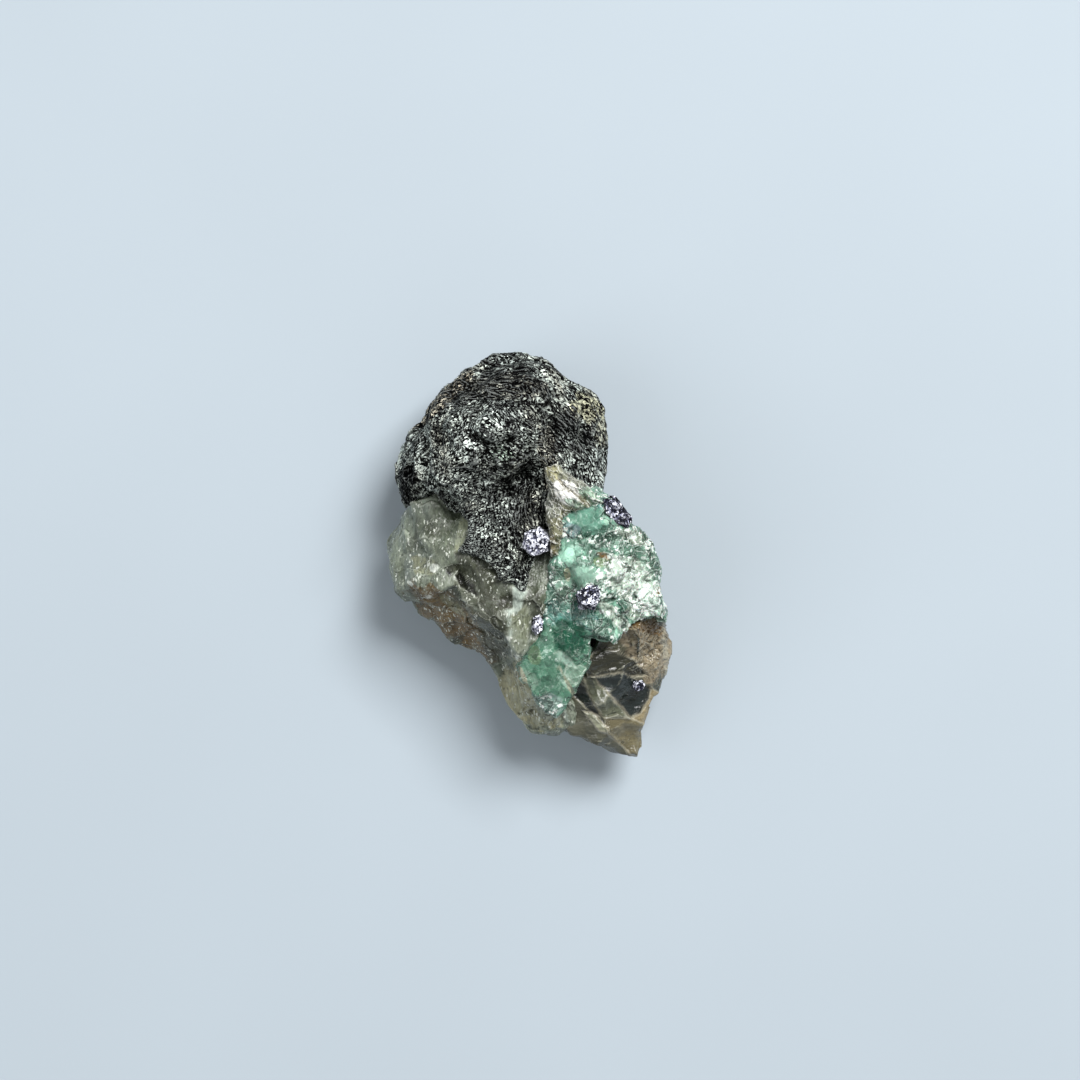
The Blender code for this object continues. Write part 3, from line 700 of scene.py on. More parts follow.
def in_corners(x, y, corners):
    """How far inside a convex shape each place is, in mm: the least of its distances from the sides, each
    counted below 0 on the side's outer hand. The corners go round like a clock's hands."""
    corners = np.array(corners)
    sides = np.roll(corners, -1, axis=0) - corners
    inward = np.column_stack([sides[:, 1], -sides[:, 0]]) / np.linalg.norm(sides, axis=1, keepdims=True)
    return (np.column_stack([x, y]) @ inward.T - np.sum(corners * inward, axis=1)).min(axis=1)


def faceted(colour, points, facing, colours, facets, seed, rim_colour="rim"):
    """Paints flat facets over a colour: each is a convex shape with a crisp, slightly ragged border, and a
    thin rim that fades as a bell curve to both sides of it."""
    palette = {name: pigment(shade) for name, shade in colours.items()}
    ragged = np.column_stack([rough_noise(points, 0.7, seed + axis) for axis in (0, 1)])
    x, y = (points[:, :2] + 0.12 * ragged).T
    upward = np.clip(facing[:, 2] * 5 + 0.8, 0, 1)
    for corners, name, strength, rim, *_ in facets:
        inside = in_corners(x, y, corners)
        share = (strength * upward * np.clip(inside / 0.12 + 0.5, 0, 1))[:, None]
        colour = colour * (1 - share) + palette[name] * share
        share = (rim * upward * np.exp(-((inside / 0.10) ** 2)))[:, None]
        colour = colour * (1 - share) + palette[rim_colour] * share
    return colour


def seated(points, neighbours, deep=0.4, most=0.8, slope=0.6):
    """Sinks the surface inside the outline of each neighbour that sits in it, to deep below the neighbour's
    own top, but by no more than most. It gets there within the slope's length."""
    for lump in neighbours:
        east, north = (points[:, :2] - lump["middle"]).T
        edge = reach(lump, np.arctan2(north, east))
        inside = edge - np.hypot(east, north)
        plan = np.clip(1 - inside / edge, 1e-6, 1) ** (1 / lump["fullness"][0])
        top = blended(lump["tops"], points[:, 0], points[:, 1])
        floor = blended(lump["floors"], points[:, 0], points[:, 1])
        belt = floor + lump["belt"] * (top - floor)
        roof = belt + (1 - plan**2) ** (lump["fullness"][1] / 2) * (top - belt) - deep
        low = np.where(points[:, 2] > floor, np.clip(points[:, 2] - roof, 0, most), 0)
        points = points - (np.clip(inside / slope, 0, 1) ** 1.5 * low)[:, None] * (0, 0, 1)
    return points


def wholeness(points, ovals):
    """How smooth the surface is: 1 in the middle of an oval, falling smoothly to 0 outside it."""
    whole = np.zeros(len(points))
    for oval in ovals:
        along, across = in_oval(points[:, 0], points[:, 1], *oval)
        whole = np.maximum(whole, np.exp(-((along**2 + across**2) ** 2) * 0.5))
    return whole


def emerald_relief(points, facing):
    """Crushed granules: leaning facets of 2.2 mm with finer ones on them, all fading where the crystal is
    whole. Also gives each facet's tone, darkened with painted shade along its borders."""
    loose = 1 - 0.8 * wholeness(points, SMOOTH_FACES)
    shaken = points + 0.25 * np.column_stack([soft_noise(points, 0.8, seed) for seed in (205, 206, 207)])
    large, open_large, chance = broken_facets(shaken, 2.2, 204)
    coarse, open_coarse, second_chance = broken_facets(shaken, 1.1, 201)
    fine, _, third_chance = broken_facets(shaken * (1, 0.7, 0.8), 0.5, 202)
    height = 0.75 * large + 0.50 * coarse + 0.20 * fine + 0.06 * rough_noise(points, 0.8, 203)
    tone = 1 + loose * (0.60 * (chance - 0.5) + 0.60 * (second_chance - 0.5) + 0.45 * (third_chance - 0.5))
    # painted shade along the borders of the large and coarse facets, where the granules part
    tone *= 1 - loose * (0.30 * (1 - open_large) + 0.30 * (1 - open_coarse))
    return points + facing * (height * loose)[:, None], tone


def emerald_finish():
    """Green emerald: its painted colour, each granule lighter or darker, whitish crushed flecks and veins,
    a few dark gaps, a little light let in, and a glassy gloss that changes from granule to granule."""
    material, tree, shader = new_finish("crushed_emerald")
    place = in_millimetres(tree)
    shaken = wavered(tree, place, 0.7, 0.9)
    granules = grains(tree, shaken, 0.95)
    flecks = grains(tree, wavered(tree, place, 0.3, 0.3), 0.40)
    shade = ramp(tree, one_channel(tree, granules), [(0.0, 0.70), (0.35, 0.88), (0.75, 1.0), (1.0, 1.15)])
    colour = mixed(tree, 1.0, painted_layer(tree, "tint"), shade, "MULTIPLY")
    crushed = painted_layer(tree, "crushed", "Fac")
    loose = sums(tree, "MULTIPLY_ADD", crushed, 0.9, 0.5)
    loose.node.use_clamp = True
    grain = ramp(tree, one_channel(tree, flecks, 2), [(0.0, 0.70), (1.0, 1.18)])
    colour = mixed(tree, loose, colour, grain, "MULTIPLY")
    chance = sums(tree, "MULTIPLY_ADD", crushed, 0.45, one_channel(tree, flecks))
    chance = sums(tree, "MULTIPLY_ADD", cloud(tree, wavered(tree, place, 0.5, 0.8), 0.9, 4.0), 0.9, chance)
    white = ramp(tree, sums(tree, "MULTIPLY", chance, 0.5), [(0.64, 0.0), (0.67, 0.9)])
    colour = covered(tree, white, colour, EMERALD_COLOURS["fleck"])
    dark = ramp(tree, one_channel(tree, flecks, 1), [(0.0, 0.55), (0.12, 0.0)])
    colour = covered(tree, sums(tree, "MULTIPLY", dark, loose), colour, EMERALD_COLOURS["dark_fleck"])
    gaps = cloud(tree, wavered(tree, place, 0.4, 0.8), 0.8, 5.0, 0.65)
    gaps = ramp(tree, gaps, [(0.36, 0.75), (0.42, 0.0)])
    colour = covered(tree, sums(tree, "MULTIPLY", gaps, loose), colour, EMERALD_COLOURS["gap"])
    veins = ramp(tree, grains(tree, shaken, 1.9, "DISTANCE_TO_EDGE", "Distance"), [(0.0, 0.20), (0.03, 0.0)])
    colour = covered(tree, veins, colour, EMERALD_COLOURS["vein"])
    colour = pale_edges_shaded_grooves(tree, colour, EMERALD_COLOURS, 0.35, 0.75)
    wire(tree, shader.inputs["Base Color"], colour)
    dull = sums(tree, "MULTIPLY_ADD", one_channel(tree, granules, 2), 0.34, 0.08)
    wire(tree, shader.inputs["Roughness"], dull)
    shader.inputs["Subsurface Weight"].default_value = 0.30
    shader.inputs["Subsurface Radius"].default_value = (0.4 * MM, 0.9 * MM, 0.7 * MM)
    shader.inputs["IOR"].default_value = 1.58
    fine = relief(tree, cloud(tree, place, 0.3, 4.0), 0.10)
    leaning = tilted_flakes(tree, granules, 0.45, fine)
    wire(tree, shader.inputs["Normal"], tilted_flakes(tree, flecks, 0.40, leaning))
    return material


crystal_finish = emerald_finish()
for name, lump, seed, cells, neighbours in (
    ("emerald_block", EMERALD_BLOCK, 23, 118, [FELDSPAR_HEAD, FELDSPAR_STRIP]),
    ("emerald_prism", EMERALD_PRISM, 24, 84, []),
):
    directions, faces = ball_of_cells(cells)
    points = seated(lump_surface(directions, lump, seed), neighbours)
    points, tone = emerald_relief(points, facings(points, faces))
    facing = facings(points, faces)
    crystal = stone_mesh(name, points, faces)
    tint = mottled(points, facing, EMERALD_COLOURS, EMERALD_PATCHES, 211) * tone[:, None]
    tint = faceted(tint, points, facing, EMERALD_COLOURS, EMERALD_FACETS, 214, "crushed")
    paint(crystal, "tint", tint, "FLOAT_COLOR")
    whole = wholeness(points, SMOOTH_FACES)
    crushed = 0.5 * np.clip(rough_noise(points, 1.8, 212), -0.5, 1) - 0.5 * whole
    for *oval, more in CRUSHED_ZONES:
        along, across = in_oval(points[:, 0], points[:, 1], *oval)
        crushed += more * np.exp(-(along**2) - across**2)
    paint(crystal, "crushed", crushed)
    edge = edges_and_grooves(points, faces, facing)
    paint(crystal, "edge", 0.5 + (edge - 0.5) * (1 - 0.8 * whole))
    crystal.data.materials.append(crystal_finish)
    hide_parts("emerald")

# Smoky quartz point. Dark glassy quartz, splintered to a point, with shell-shaped breaks, pale splinters
# along their rims and a brown granular block at its upper right. It grew round the emerald's lower end.
SMOKY_POINT = dict(
    outline=[
        (2.5, -17.0), (3.2, -18.8), (4.7, -19.6), (6.4, -20.3), (7.9, -21.0), (10.2, -21.9),
        (11.4, -22.3), (11.7, -20.6), (11.9, -19.4), (12.5, -18.4), (12.9, -16.9), (13.4, -15.4),
        (14.4, -14.6), (14.8, -13.0), (15.1, -11.4), (15.5, -10.6), (15.6, -9.2), (15.1, -7.9),
        (14.6, -6.6), (12.4, -4.6), (7.9, -5.6), (4.9, -9.7), (3.9, -13.2), (2.8, -15.4),
    ],
    middle=(9.4, -14.6),
    tops=[
        (6.0, -8.0, 12.4), (8.0, -10.8, 13.4), (8.2, -9.4, 14.8), (12.0, -8.8, 16.0), (14.4, -8.4, 15.4),
        (10.4, -8.6, 15.0), (14.2, -11.0, 13.4), (13.6, -13.4, 11.6), (10.0, -14.0, 11.4),
        (6.0, -14.4, 12.4), (7.0, -18.2, 10.4), (11.0, -20.6, 7.6), (12.0, -17.0, 9.0), (4.4, -18.4, 10.8),
    ],
    floors=[(9.0, -10.0, 4.0), (7.0, -16.0, 4.2), (11.0, -21.0, 4.4), (14.0, -10.0, 3.6)],
    belt=0.46,
    fullness=(0.66, 0.52),
    dents=[],
    cuts=[
        ("bowl", (9.4, -11.6, 16.6), 4.7),
        ("bowl", (9.8, -15.2, 14.8), 4.0),
        ("bowl", (5.9, -15.4, 14.0), 2.6),
        ("bowl", (13.8, -18.6, 16.6), 8.4),
        ("flat", (6.6, -18.2, 10.2), (-0.22, -0.42, 0.88)),
        ("flat", (12.9, -18.6, 7.6), (0.80, -0.24, 0.55)),
        ("flat", (14.6, -12.2, 10.6), (0.70, -0.30, 0.64)),
        ("flat", (14.2, -9.6, 5.4), (0.70, 0.10, -0.70)),
    ],
    rough=0.7,
)
SMOKY_COLOURS = {
    "ground": (82, 84, 68), "shade": (48, 52, 44), "light": (120, 116, 92), "smoke": (40, 48, 48),
    "umber": (58, 58, 47), "black": (28, 35, 35), "pale_olive": (146, 148, 124), "brown": (156, 142, 116),
    "rust": (122, 96, 58), "rim": (186, 180, 158), "band": (100, 104, 86), "olive_grey": (124, 116, 88),
    "yellowish": (160, 146, 112), "grey_brown": (94, 94, 80), "splinter": (184, 182, 162),
    # groove is the painted shade down in the grooves
    "edge": (190, 190, 172), "groove": (24, 27, 24),
}
SMOKY_PATCHES = [
    # x, y, half length, half width, direction, colour, strength
    (13.0, -10.2, 3.6, 2.8, -60, "brown", 0.9), (12.9, -7.7, 2.0, 0.6, -20, "rust", 0.9),
    (14.9, -11.3, 0.28, 3.78, 5, "rim", 0.8), (8.6, -10.2, 2.0, 0.33, -15, "umber", 0.8),
]
BROWN_BLOCK = (13.2, -9.8, 2.6, 3.2, 0)  # x, y, half length, half width, direction of its granular block
SPLINTER_HEADING = -58  # degrees, down to the point
SMOKY_FACETS = [
    # corners, colour, strength, how pale the rim is, how far it stands up, and how steeply it rises to the
    # right and to the back
    ([(2.0, -17.7), (3.0, -15.6), (4.5, -15.0), (11.9, -22.8), (7.3, -22.5), (3.0, -20.0)],
     "grey_brown", 0.85, 0.3, 0.0, 0.02, -0.06),
    ([(7.9, -17.6), (9.3, -17.2), (11.1, -17.9), (12.6, -18.6), (12.6, -20.5), (11.9, -22.8), (8.4, -19.5)],
     "olive_grey", 0.9, 0.5, 0.15, -0.08, 0.04),
    ([(13.3, -14.4), (14.2, -15.0), (13.8, -16.5), (12.9, -18.8), (11.2, -17.9)],
     "yellowish", 0.85, 0.6, 0.1, 0.10, 0.0),
    ([(5.9, -11.7), (6.6, -10.6), (7.9, -10.0), (9.5, -10.2), (11.1, -11.2), (12.7, -13.0), (6.1, -13.2)],
     "umber", 0.95, 0.6, 0.25, -0.08, 0.10),
    ([(5.7, -13.2), (6.8, -13.2), (10.8, -17.8), (7.9, -17.7), (6.4, -15.2)],
     "band", 0.8, 0.5, 0.1, 0.06, -0.05),
    ([(4.6, -14.3), (5.4, -13.7), (5.9, -14.1), (7.7, -17.7), (5.9, -16.6), (4.5, -15.2)],
     "black", 0.95, 0.5, -0.25, 0.12, 0.04),
    ([(6.7, -13.1), (8.6, -12.8), (10.1, -12.7), (11.4, -13.3), (13.3, -14.6), (13.1, -15.7), (12.0, -17.2),
      (11.1, -17.8)], "smoke", 0.95, 0.7, -0.15, -0.06, 0.12),
    ([(5.7, -17.0), (6.6, -17.1), (8.4, -18.9), (8.4, -19.4), (7.5, -19.2), (6.4, -17.9)],
     "pale_olive", 0.95, 0.7, 0.25, 0.05, 0.08),
]


def smoky_relief(points, facing):
    """Splintery breaks: long leaning facets that run down to the point, a granular brown block, coarse
    blocks and splinters on the sides, and the large facets, each lifted onto its own slope."""
    turn = np.radians(SPLINTER_HEADING)
    along = points[:, 0] * np.cos(turn) + points[:, 1] * np.sin(turn)
    across = points[:, 1] * np.cos(turn) - points[:, 0] * np.sin(turn)
    turned = np.column_stack([along * 0.45, across, points[:, 2]])
    coarse, _, _ = broken_facets(turned, 1.3, 401)
    fine, _, _ = broken_facets(turned, 0.55, 402)
    east, north = in_oval(points[:, 0], points[:, 1], *BROWN_BLOCK)
    brown = np.exp(-(east**2) - north**2)
    grainy, _, _ = broken_facets(points, 0.8, 403)
    crumbs, _, _ = broken_facets(points, 0.4, 405)
    height = (0.10 + 0.3 * brown) * coarse + 0.05 * fine + brown * (0.8 * grainy + 0.3 * crumbs)
    height += 0.03 * rough_noise(points, 0.9, 404)
    blocks, _, _ = broken_facets(points, 2.0, 406)
    splinters, _, _ = broken_facets(turned, 0.9, 407)
    height += np.clip(1 - 2 * facing[:, 2], 0, 1) * (0.45 * blocks + 0.2 * splinters)
    upward = np.clip(facing[:, 2] * 2, 0, 1)
    for corners, _, _, _, rise, right, back in SMOKY_FACETS:
        middle = np.mean(corners, axis=0)
        share = np.clip(in_corners(points[:, 0], points[:, 1], corners) / 0.3 + 0.5, 0, 1) * upward
        height += share * (rise + right * (points[:, 0] - middle[0]) + back * (points[:, 1] - middle[1]))
    return points + facing * height[:, None]


def smoky_finish():
    """Smoky quartz: dark and glassy, with fine streaks and pale splinters that lie across it."""
    material, tree, shader = new_finish("smoky_quartz")
    place = in_millimetres(tree)
    streaked = in_millimetres(tree, (2.4, 0.4, 0.7), 58)
    shade = ramp(tree, cloud(tree, streaked, 1.0, 5.0, 0.7), [(0.3, 0.6), (0.5, 0.9), (0.68, 1.35)])
    colour = mixed(tree, 1.0, painted_layer(tree, "tint"), shade, "MULTIPLY")
    splinters = grains(tree, wavered(tree, streaked, 0.6, 0.4), 0.6)
    chance = sums(tree, "MULTIPLY_ADD", cloud(tree, place, 1.5, 2.0), 0.5, one_channel(tree, splinters))
    white = ramp(tree, sums(tree, "MULTIPLY", chance, 0.5), [(0.64, 0.0), (0.66, 0.5)])
    colour = covered(tree, white, colour, SMOKY_COLOURS["splinter"])
    colour = pale_edges_shaded_grooves(tree, colour, SMOKY_COLOURS, 0.40, 0.7)
    wire(tree, shader.inputs["Base Color"], colour)
    wire(tree, shader.inputs["Roughness"], sums(tree, "MULTIPLY_ADD", cloud(tree, place, 0.8), 0.40, -0.06))
    shader.inputs["IOR"].default_value = 1.55
    shader.inputs["Transmission Weight"].default_value = 0.15
    fine = relief(tree, cloud(tree, streaked, 0.5, 4.0), 0.06)
    wire(tree, shader.inputs["Normal"], tilted_flakes(tree, splinters, 0.22, fine))
    return material


directions, faces = ball_of_cells(cells=115)
points = seated(lump_surface(directions, SMOKY_POINT, seed=19), [EMERALD_BLOCK, EMERALD_PRISM])
points = smoky_relief(points, facings(points, faces))
facing = facings(points, faces)
splintered_point = stone_mesh("splintered_point", points, faces)
tint = mottled(points, facing, SMOKY_COLOURS, SMOKY_PATCHES, 411, ragged=0.3, soft=0.2)
tint = faceted(tint, points, facing, SMOKY_COLOURS, SMOKY_FACETS, 414)
paint(splintered_point, "tint", tint, "FLOAT_COLOR")
paint(splintered_point, "edge", edges_and_grooves(points, faces, facing))
splintered_point.data.materials.append(smoky_finish())
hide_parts("smoky_quartz_point")

# Mica schist. The black cap: countless flakes of dark mica pressed into curved layers, with painted silvery
# glints, and patches of painted sheen and shade for how they face the light. A tongue of it runs down
# between the quartz and the emerald, and a hollow has broken out at its left rim.
SCHIST_CAP = dict(
    outline=[
        (-13.8, 5.9), (-14.7, 8.1), (-15.1, 10.0), (-14.6, 11.6), (-13.6, 13.6), (-12.2, 14.9),
        (-10.8, 17.0), (-8.9, 19.2), (-6.7, 20.7), (-4.4, 21.9), (-1.8, 22.3), (0.8, 21.9),
        (2.6, 20.9), (4.2, 19.2), (6.8, 17.7), (8.3, 15.9), (8.4, 14.8), (7.9, 12.0),
        (7.8, 9.2), (7.9, 6.3), (5.2, 5.3), (2.2, 3.7), (1.3, 0.9), (-0.5, -1.0),
        (-1.5, 0.9), (-4.3, 2.6), (-6.7, 3.7), (-8.1, 5.2), (-9.7, 5.7), (-10.9, 6.8),
    ],
    middle=(-4.3, 11.4),
    tops=[
        (-4.6, 13.4, 21.0), (-2.6, 15.4, 20.0), (-6.8, 11.4, 20.0), (-2.8, 11.4, 19.4), (-6.4, 15.2, 19.8),
        (-4.6, 9.6, 18.6), (-8.6, 8.6, 18.6), (-12.5, 10.5, 15.6), (-1.8, 18.2, 18.6), (-7.0, 17.0, 18.4),
        (4.0, 15.0, 18.0), (5.2, 9.0, 17.6), (-0.6, 7.6, 16.6), (0.0, 2.6, 16.4), (-4.4, 5.4, 17.8),
        (7.2, 15.0, 15.5), (-12.6, 6.9, 13.6),
    ],
    floors=[
        (-4.0, 14.0, -1.2), (-4.0, 18.5, -0.2), (-10.0, 12.0, -0.2), (4.0, 12.0, -0.6), (-11.0, 7.0, 4.0),
        (-4.0, 6.5, 5.0), (4.5, 6.5, 5.5), (-2.0, 1.5, 11.5), (0.4, -0.4, 13.0),
    ],
    belt=0.42,
    fullness=(0.80, 0.62),
    dents=[(-0.6, 8.2, 4.6, 1.5, 70, 1.4), (-8.2, 14.2, 4.2, 0.9, 40, 0.7), (3.0, 13.2, 3.4, 0.9, -50, 0.9)],
    cuts=[
        ("flat", (7.5, 15.2, 16.0), (0.72, 0.30, 0.62)),
        ("flat", (-9.6, 17.6, 14.5), (-0.62, 0.50, 0.60)),
        ("bowl", (-14.0, 9.4, 13.6), 1.7),
        ("flat", (-13.2, 13.0, 5.0), (-0.80, 0.25, -0.55)),
        ("flat", (-4.6, 20.6, 4.6), (-0.22, 0.80, -0.55)),
        ("flat", (6.2, 15.6, 4.4), (0.72, 0.40, -0.56)),
    ],
    rough=1.0,
)
SCHIST_TONGUE = dict(
    outline=[
        (-7.6, 6.4), (-0.9, 6.9), (1.7, 3.7), (0.6, 0.3), (-0.5, -1.7), (-0.9, -3.2), (-2.3, -2.9),
        (-3.6, -2.3), (-4.5, -0.9), (-6.1, -0.2), (-8.1, 0.7), (-7.2, 1.9), (-6.7, 3.7),
    ],
    middle=(-3.2, 2.6),
    tops=[(-3.4, 5.6, 17.4), (-5.2, 1.6, 16.7), (-2.4, 0.6, 16.9), (-1.6, -2.2, 15.9), (0.4, 3.4, 16.3)],
    floors=[(-3.2, 4.0, 11.0), (-3.0, 0.0, 12.4)],
    belt=0.84,
    fullness=(0.72, 0.55),
    dents=[],
    cuts=[],
    rough=0.8,
)
SCHIST_SHEEN_PATCHES = [
    # x, y, half length, half width, direction, how much brighter (1) or darker (-1) the flakes are: painted
    # sheen where the surface faces the light, painted shade in its valleys and in the hollow at the left rim
    (-4.1, 14.2, 1.89, 1.33, -40, 0.04), (-10.9, 9.8, 4.0, 2.78, -10, 0.08),
    (-14.7, 11.4, 0.44, 2.22, 0, 0.4), (2.4, 19.4, 1.67, 0.89, -35, 0.25), (3.7, 17.1, 1.0, 0.44, 0, 0.15),
    (7.1, 9.0, 1.78, 0.89, -38, 0.15), (-5.9, 2.6, 2.44, 1.56, 0, 0.06), (-1.5, 7.9, 2.0, 4.22, 8, -0.12),
    (-3.0, 18.6, 6.0, 2.4, 10, -0.12), (-13.8, 7.0, 0.56, 1.22, 20, -0.4),
    (5.5, 12.6, 1.67, 1.33, 0, -0.14), (1.9, 5.9, 0.67, 2.0, 0, -0.1), (-3.2, 18.7, 4.44, 1.33, 0, -0.05),
    (3.2, 14.8, 1.4, 1.1, 0, -0.25), (6.1, 16.6, 2.0, 1.4, -35, 0.12), (7.7, 13.4, 0.6, 1.5, 0, 0.15),
    (-13.6, 9.2, 1.0, 0.9, 0, -0.9), (-12.3, 9.4, 1.2, 0.9, 0, 0.2),
]
SCHIST_STAINS_AND_SHADE = {
    "ground": (128, 134, 128), "shade": (122, 122, 112), "light": (132, 138, 134), "olive": (122, 120, 98),
    "brownish": (140, 128, 108), "smooth": (118, 118, 104), "greenish": (120, 138, 122),
    # groove is the painted shade down in the grooves
    "edge": (200, 206, 202), "groove": (3, 4, 4),
}
STAIN_PATCHES = [
    # x, y, half length, half width, direction, colour, strength
    (6.1, 16.6, 2.0, 1.44, -35, "olive", 0.8), (7.7, 13.4, 0.67, 1.56, 0, "smooth", 0.9),
    (-9.8, 17.4, 4.0, 0.78, 45, "brownish", 0.6), (1.8, 10.9, 0.89, 3.33, 5, "brownish", 0.35),
    (-3.2, 18.7, 4.44, 1.33, 0, "brownish", 0.3), (-3.3, 11.2, 1.0, 0.8, 0, "greenish", 0.6),
]
LAYER_MIDDLE, LAYER_BEND = (-9.0, 1.0), 1.2  # what the layers curve round, and how far they sway
RIM_MIDDLE, RIM_BEND = (-3.0, 4.0), 0.8  # the same at the top rim
LAYER_RADIUS = 13.0  # where the length along the layers is taken


def round_layers(points, middle, bend):
    """Where a point lies in the schist's curved layers, in mm, after noise has moved it by up to the bend:
    the angle round the middle times LAYER_RADIUS, the distance from the middle, and the height."""
    bent = points + bend * np.column_stack([soft_noise(points, 5.0, seed) for seed in (501, 502, 503)])
    east, north = (bent[:, :2] - middle).T
    return np.column_stack([np.arctan2(east, north) * LAYER_RADIUS, np.hypot(east, north), bent[:, 2]])


def schist_relief(points, facing):
    """Splintered layers: ledges and small leaning flakes stretched along the layers, on a lumpy ground."""
    layered = round_layers(points, LAYER_MIDDLE, LAYER_BEND) * (0.34, 1.0, 0.8)
    ledges, _, _ = broken_facets(layered, 1.2, 511)
    flakes, _, _ = broken_facets(layered * (1.5, 1, 1), 0.6, 512)
    fine, _, _ = broken_facets(layered * (1.2, 1, 1), 0.3, 515)
    height = 0.24 * ledges + 0.20 * flakes + 0.13 * fine
    height += 0.14 * rough_noise(points, 2.6, 513) + 0.08 * rough_noise(layered, 0.6, 514)
    return points + facing * height[:, None]


def schist_finish():
    """Black mica schist: long thin flakes in three crossing sets along its layers, each with its own grey
    from black to the white of painted glints and its own lean, made brighter or darker by random patches and
    by patches of painted sheen and shade, and stained by its tint."""
    material, tree, shader = new_finish("black_mica_schist")
    rings = painted_layer(tree, "ring_grain", "Vector")
    rim = painted_layer(tree, "rim_grain", "Vector")
    layered = mixed(tree, sums(tree, "GREATER_THAN", painted_layer(tree, "at_rim", "Fac"), 0.5), rings, rim)
    sets = []
    for turn, long, thin in ((0, 0.50, 0.17), (32, 0.42, 0.15), (-28, 0.36, 0.15)):
        mapping = tree.nodes.new("ShaderNodeMapping")
        mapping.vector_type = "TEXTURE"
        wire(tree, mapping.inputs["Vector"], layered)
        mapping.inputs["Rotation"].default_value = (0, 0, np.radians(turn))
        mapping.inputs["Scale"].default_value = (long, thin, thin)
        mapping.inputs["Location"].default_value = (turn, turn, 0)
        sets.append(grains(tree, mapping.outputs["Vector"], 1.0))
    pick = cloud(tree, in_millimetres(tree), 0.55, 1.0)
    flakes = mixed(tree, sums(tree, "GREATER_THAN", pick, 0.53), sets[0], sets[1])
    flakes = mixed(tree, sums(tree, "LESS_THAN", pick, 0.42), flakes, sets[2])
    patch = sums(tree, "MULTIPLY_ADD", cloud(tree, in_millimetres(tree), 1.3, 4.0, 0.7), 1.3, -0.78)
    # painted sheen and shade raise or lower each flake's grey; the top of the ramp is white for painted
    # glints
    light = sums(tree, "ADD", one_channel(tree, flakes), painted_layer(tree, "silver", "Fac"))
    light = sums(tree, "ADD", light, patch)
    grey = ramp(tree, light, [
        (0.0, 0.0005), (0.38, 0.002), (0.52, 0.02), (0.63, 0.14), (0.74, 0.50), (0.86, 1.0),
    ])
    colour = mixed(tree, 1.0, painted_layer(tree, "tint"), grey, "MULTIPLY")
    colour = mixed(tree, 1.0, colour, (3.6, 3.6, 3.6), "MULTIPLY")  # the tints are only mid greys
    colour = pale_edges_shaded_grooves(tree, colour, SCHIST_STAINS_AND_SHADE, 0.25, 0.95)
    wire(tree, shader.inputs["Base Color"], colour)
    dull = sums(tree, "MULTIPLY_ADD", one_channel(tree, flakes, 1), 0.30, 0.28)
    wire(tree, shader.inputs["Roughness"], dull)
    wire(tree, shader.inputs["Metallic"], ramp(tree, light, [(0.60, 0.0), (0.75, 0.35)]))
    shader.inputs["Specular IOR Level"].default_value = 0.02
    wire(tree, shader.inputs["Normal"], tilted_flakes(tree, flakes, 0.6))
    return material


flaky_finish = schist_finish()
neighbours = [EMERALD_BLOCK, EMERALD_PRISM, FELDSPAR_HEAD, FELDSPAR_STRIP]
for name, lump, seed, cells in (("schist_cap", SCHIST_CAP, 3, 127), ("schist_tongue", SCHIST_TONGUE, 4, 80)):
    directions, faces = ball_of_cells(cells)
    points = seated(lump_surface(directions, lump, seed), neighbours)
    points = schist_relief(points, facings(points, faces))
    points[:, 2] = np.maximum(points[:, 2], 0)
    facing = facings(points, faces)
    schist = stone_mesh(name, points, faces)
    # painted sheen and shade, patch by patch, where the surface does not face down
    silver = np.zeros(len(points))
    ragged = 0.3 * rough_noise(points, 1.3, 520)
    for *oval, lighter in SCHIST_SHEEN_PATCHES:
        along, across = in_oval(points[:, 0], points[:, 1], *oval)
        share = np.clip((1.3 - np.hypot(along, across) + ragged) / 0.6, 0, 1)
        silver += lighter * share * (facing[:, 2] > -0.2)
    paint(schist, "silver", silver)
    paint(schist, "edge", edges_and_grooves(points, faces, facing))
    paint(schist, "tint", mottled(points, facing, SCHIST_STAINS_AND_SHADE, STAIN_PATCHES, 521), "FLOAT_COLOR")
    paint(schist, "ring_grain", round_layers(points, LAYER_MIDDLE, LAYER_BEND), "FLOAT_VECTOR")
    paint(schist, "rim_grain", round_layers(points, RIM_MIDDLE, RIM_BEND), "FLOAT_VECTOR")
    # the rim's own layers begin along a ragged line, where y - 0.3 x is 17
    past_line = (points[:, 1] - 0.3 * points[:, 0] - 17.0) / 3 + ragged
    paint(schist, "at_rim", np.clip(past_line, -0.5, 0.5) + 0.5)
    schist.data.materials.append(flaky_finish)
    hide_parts("mica_schist")

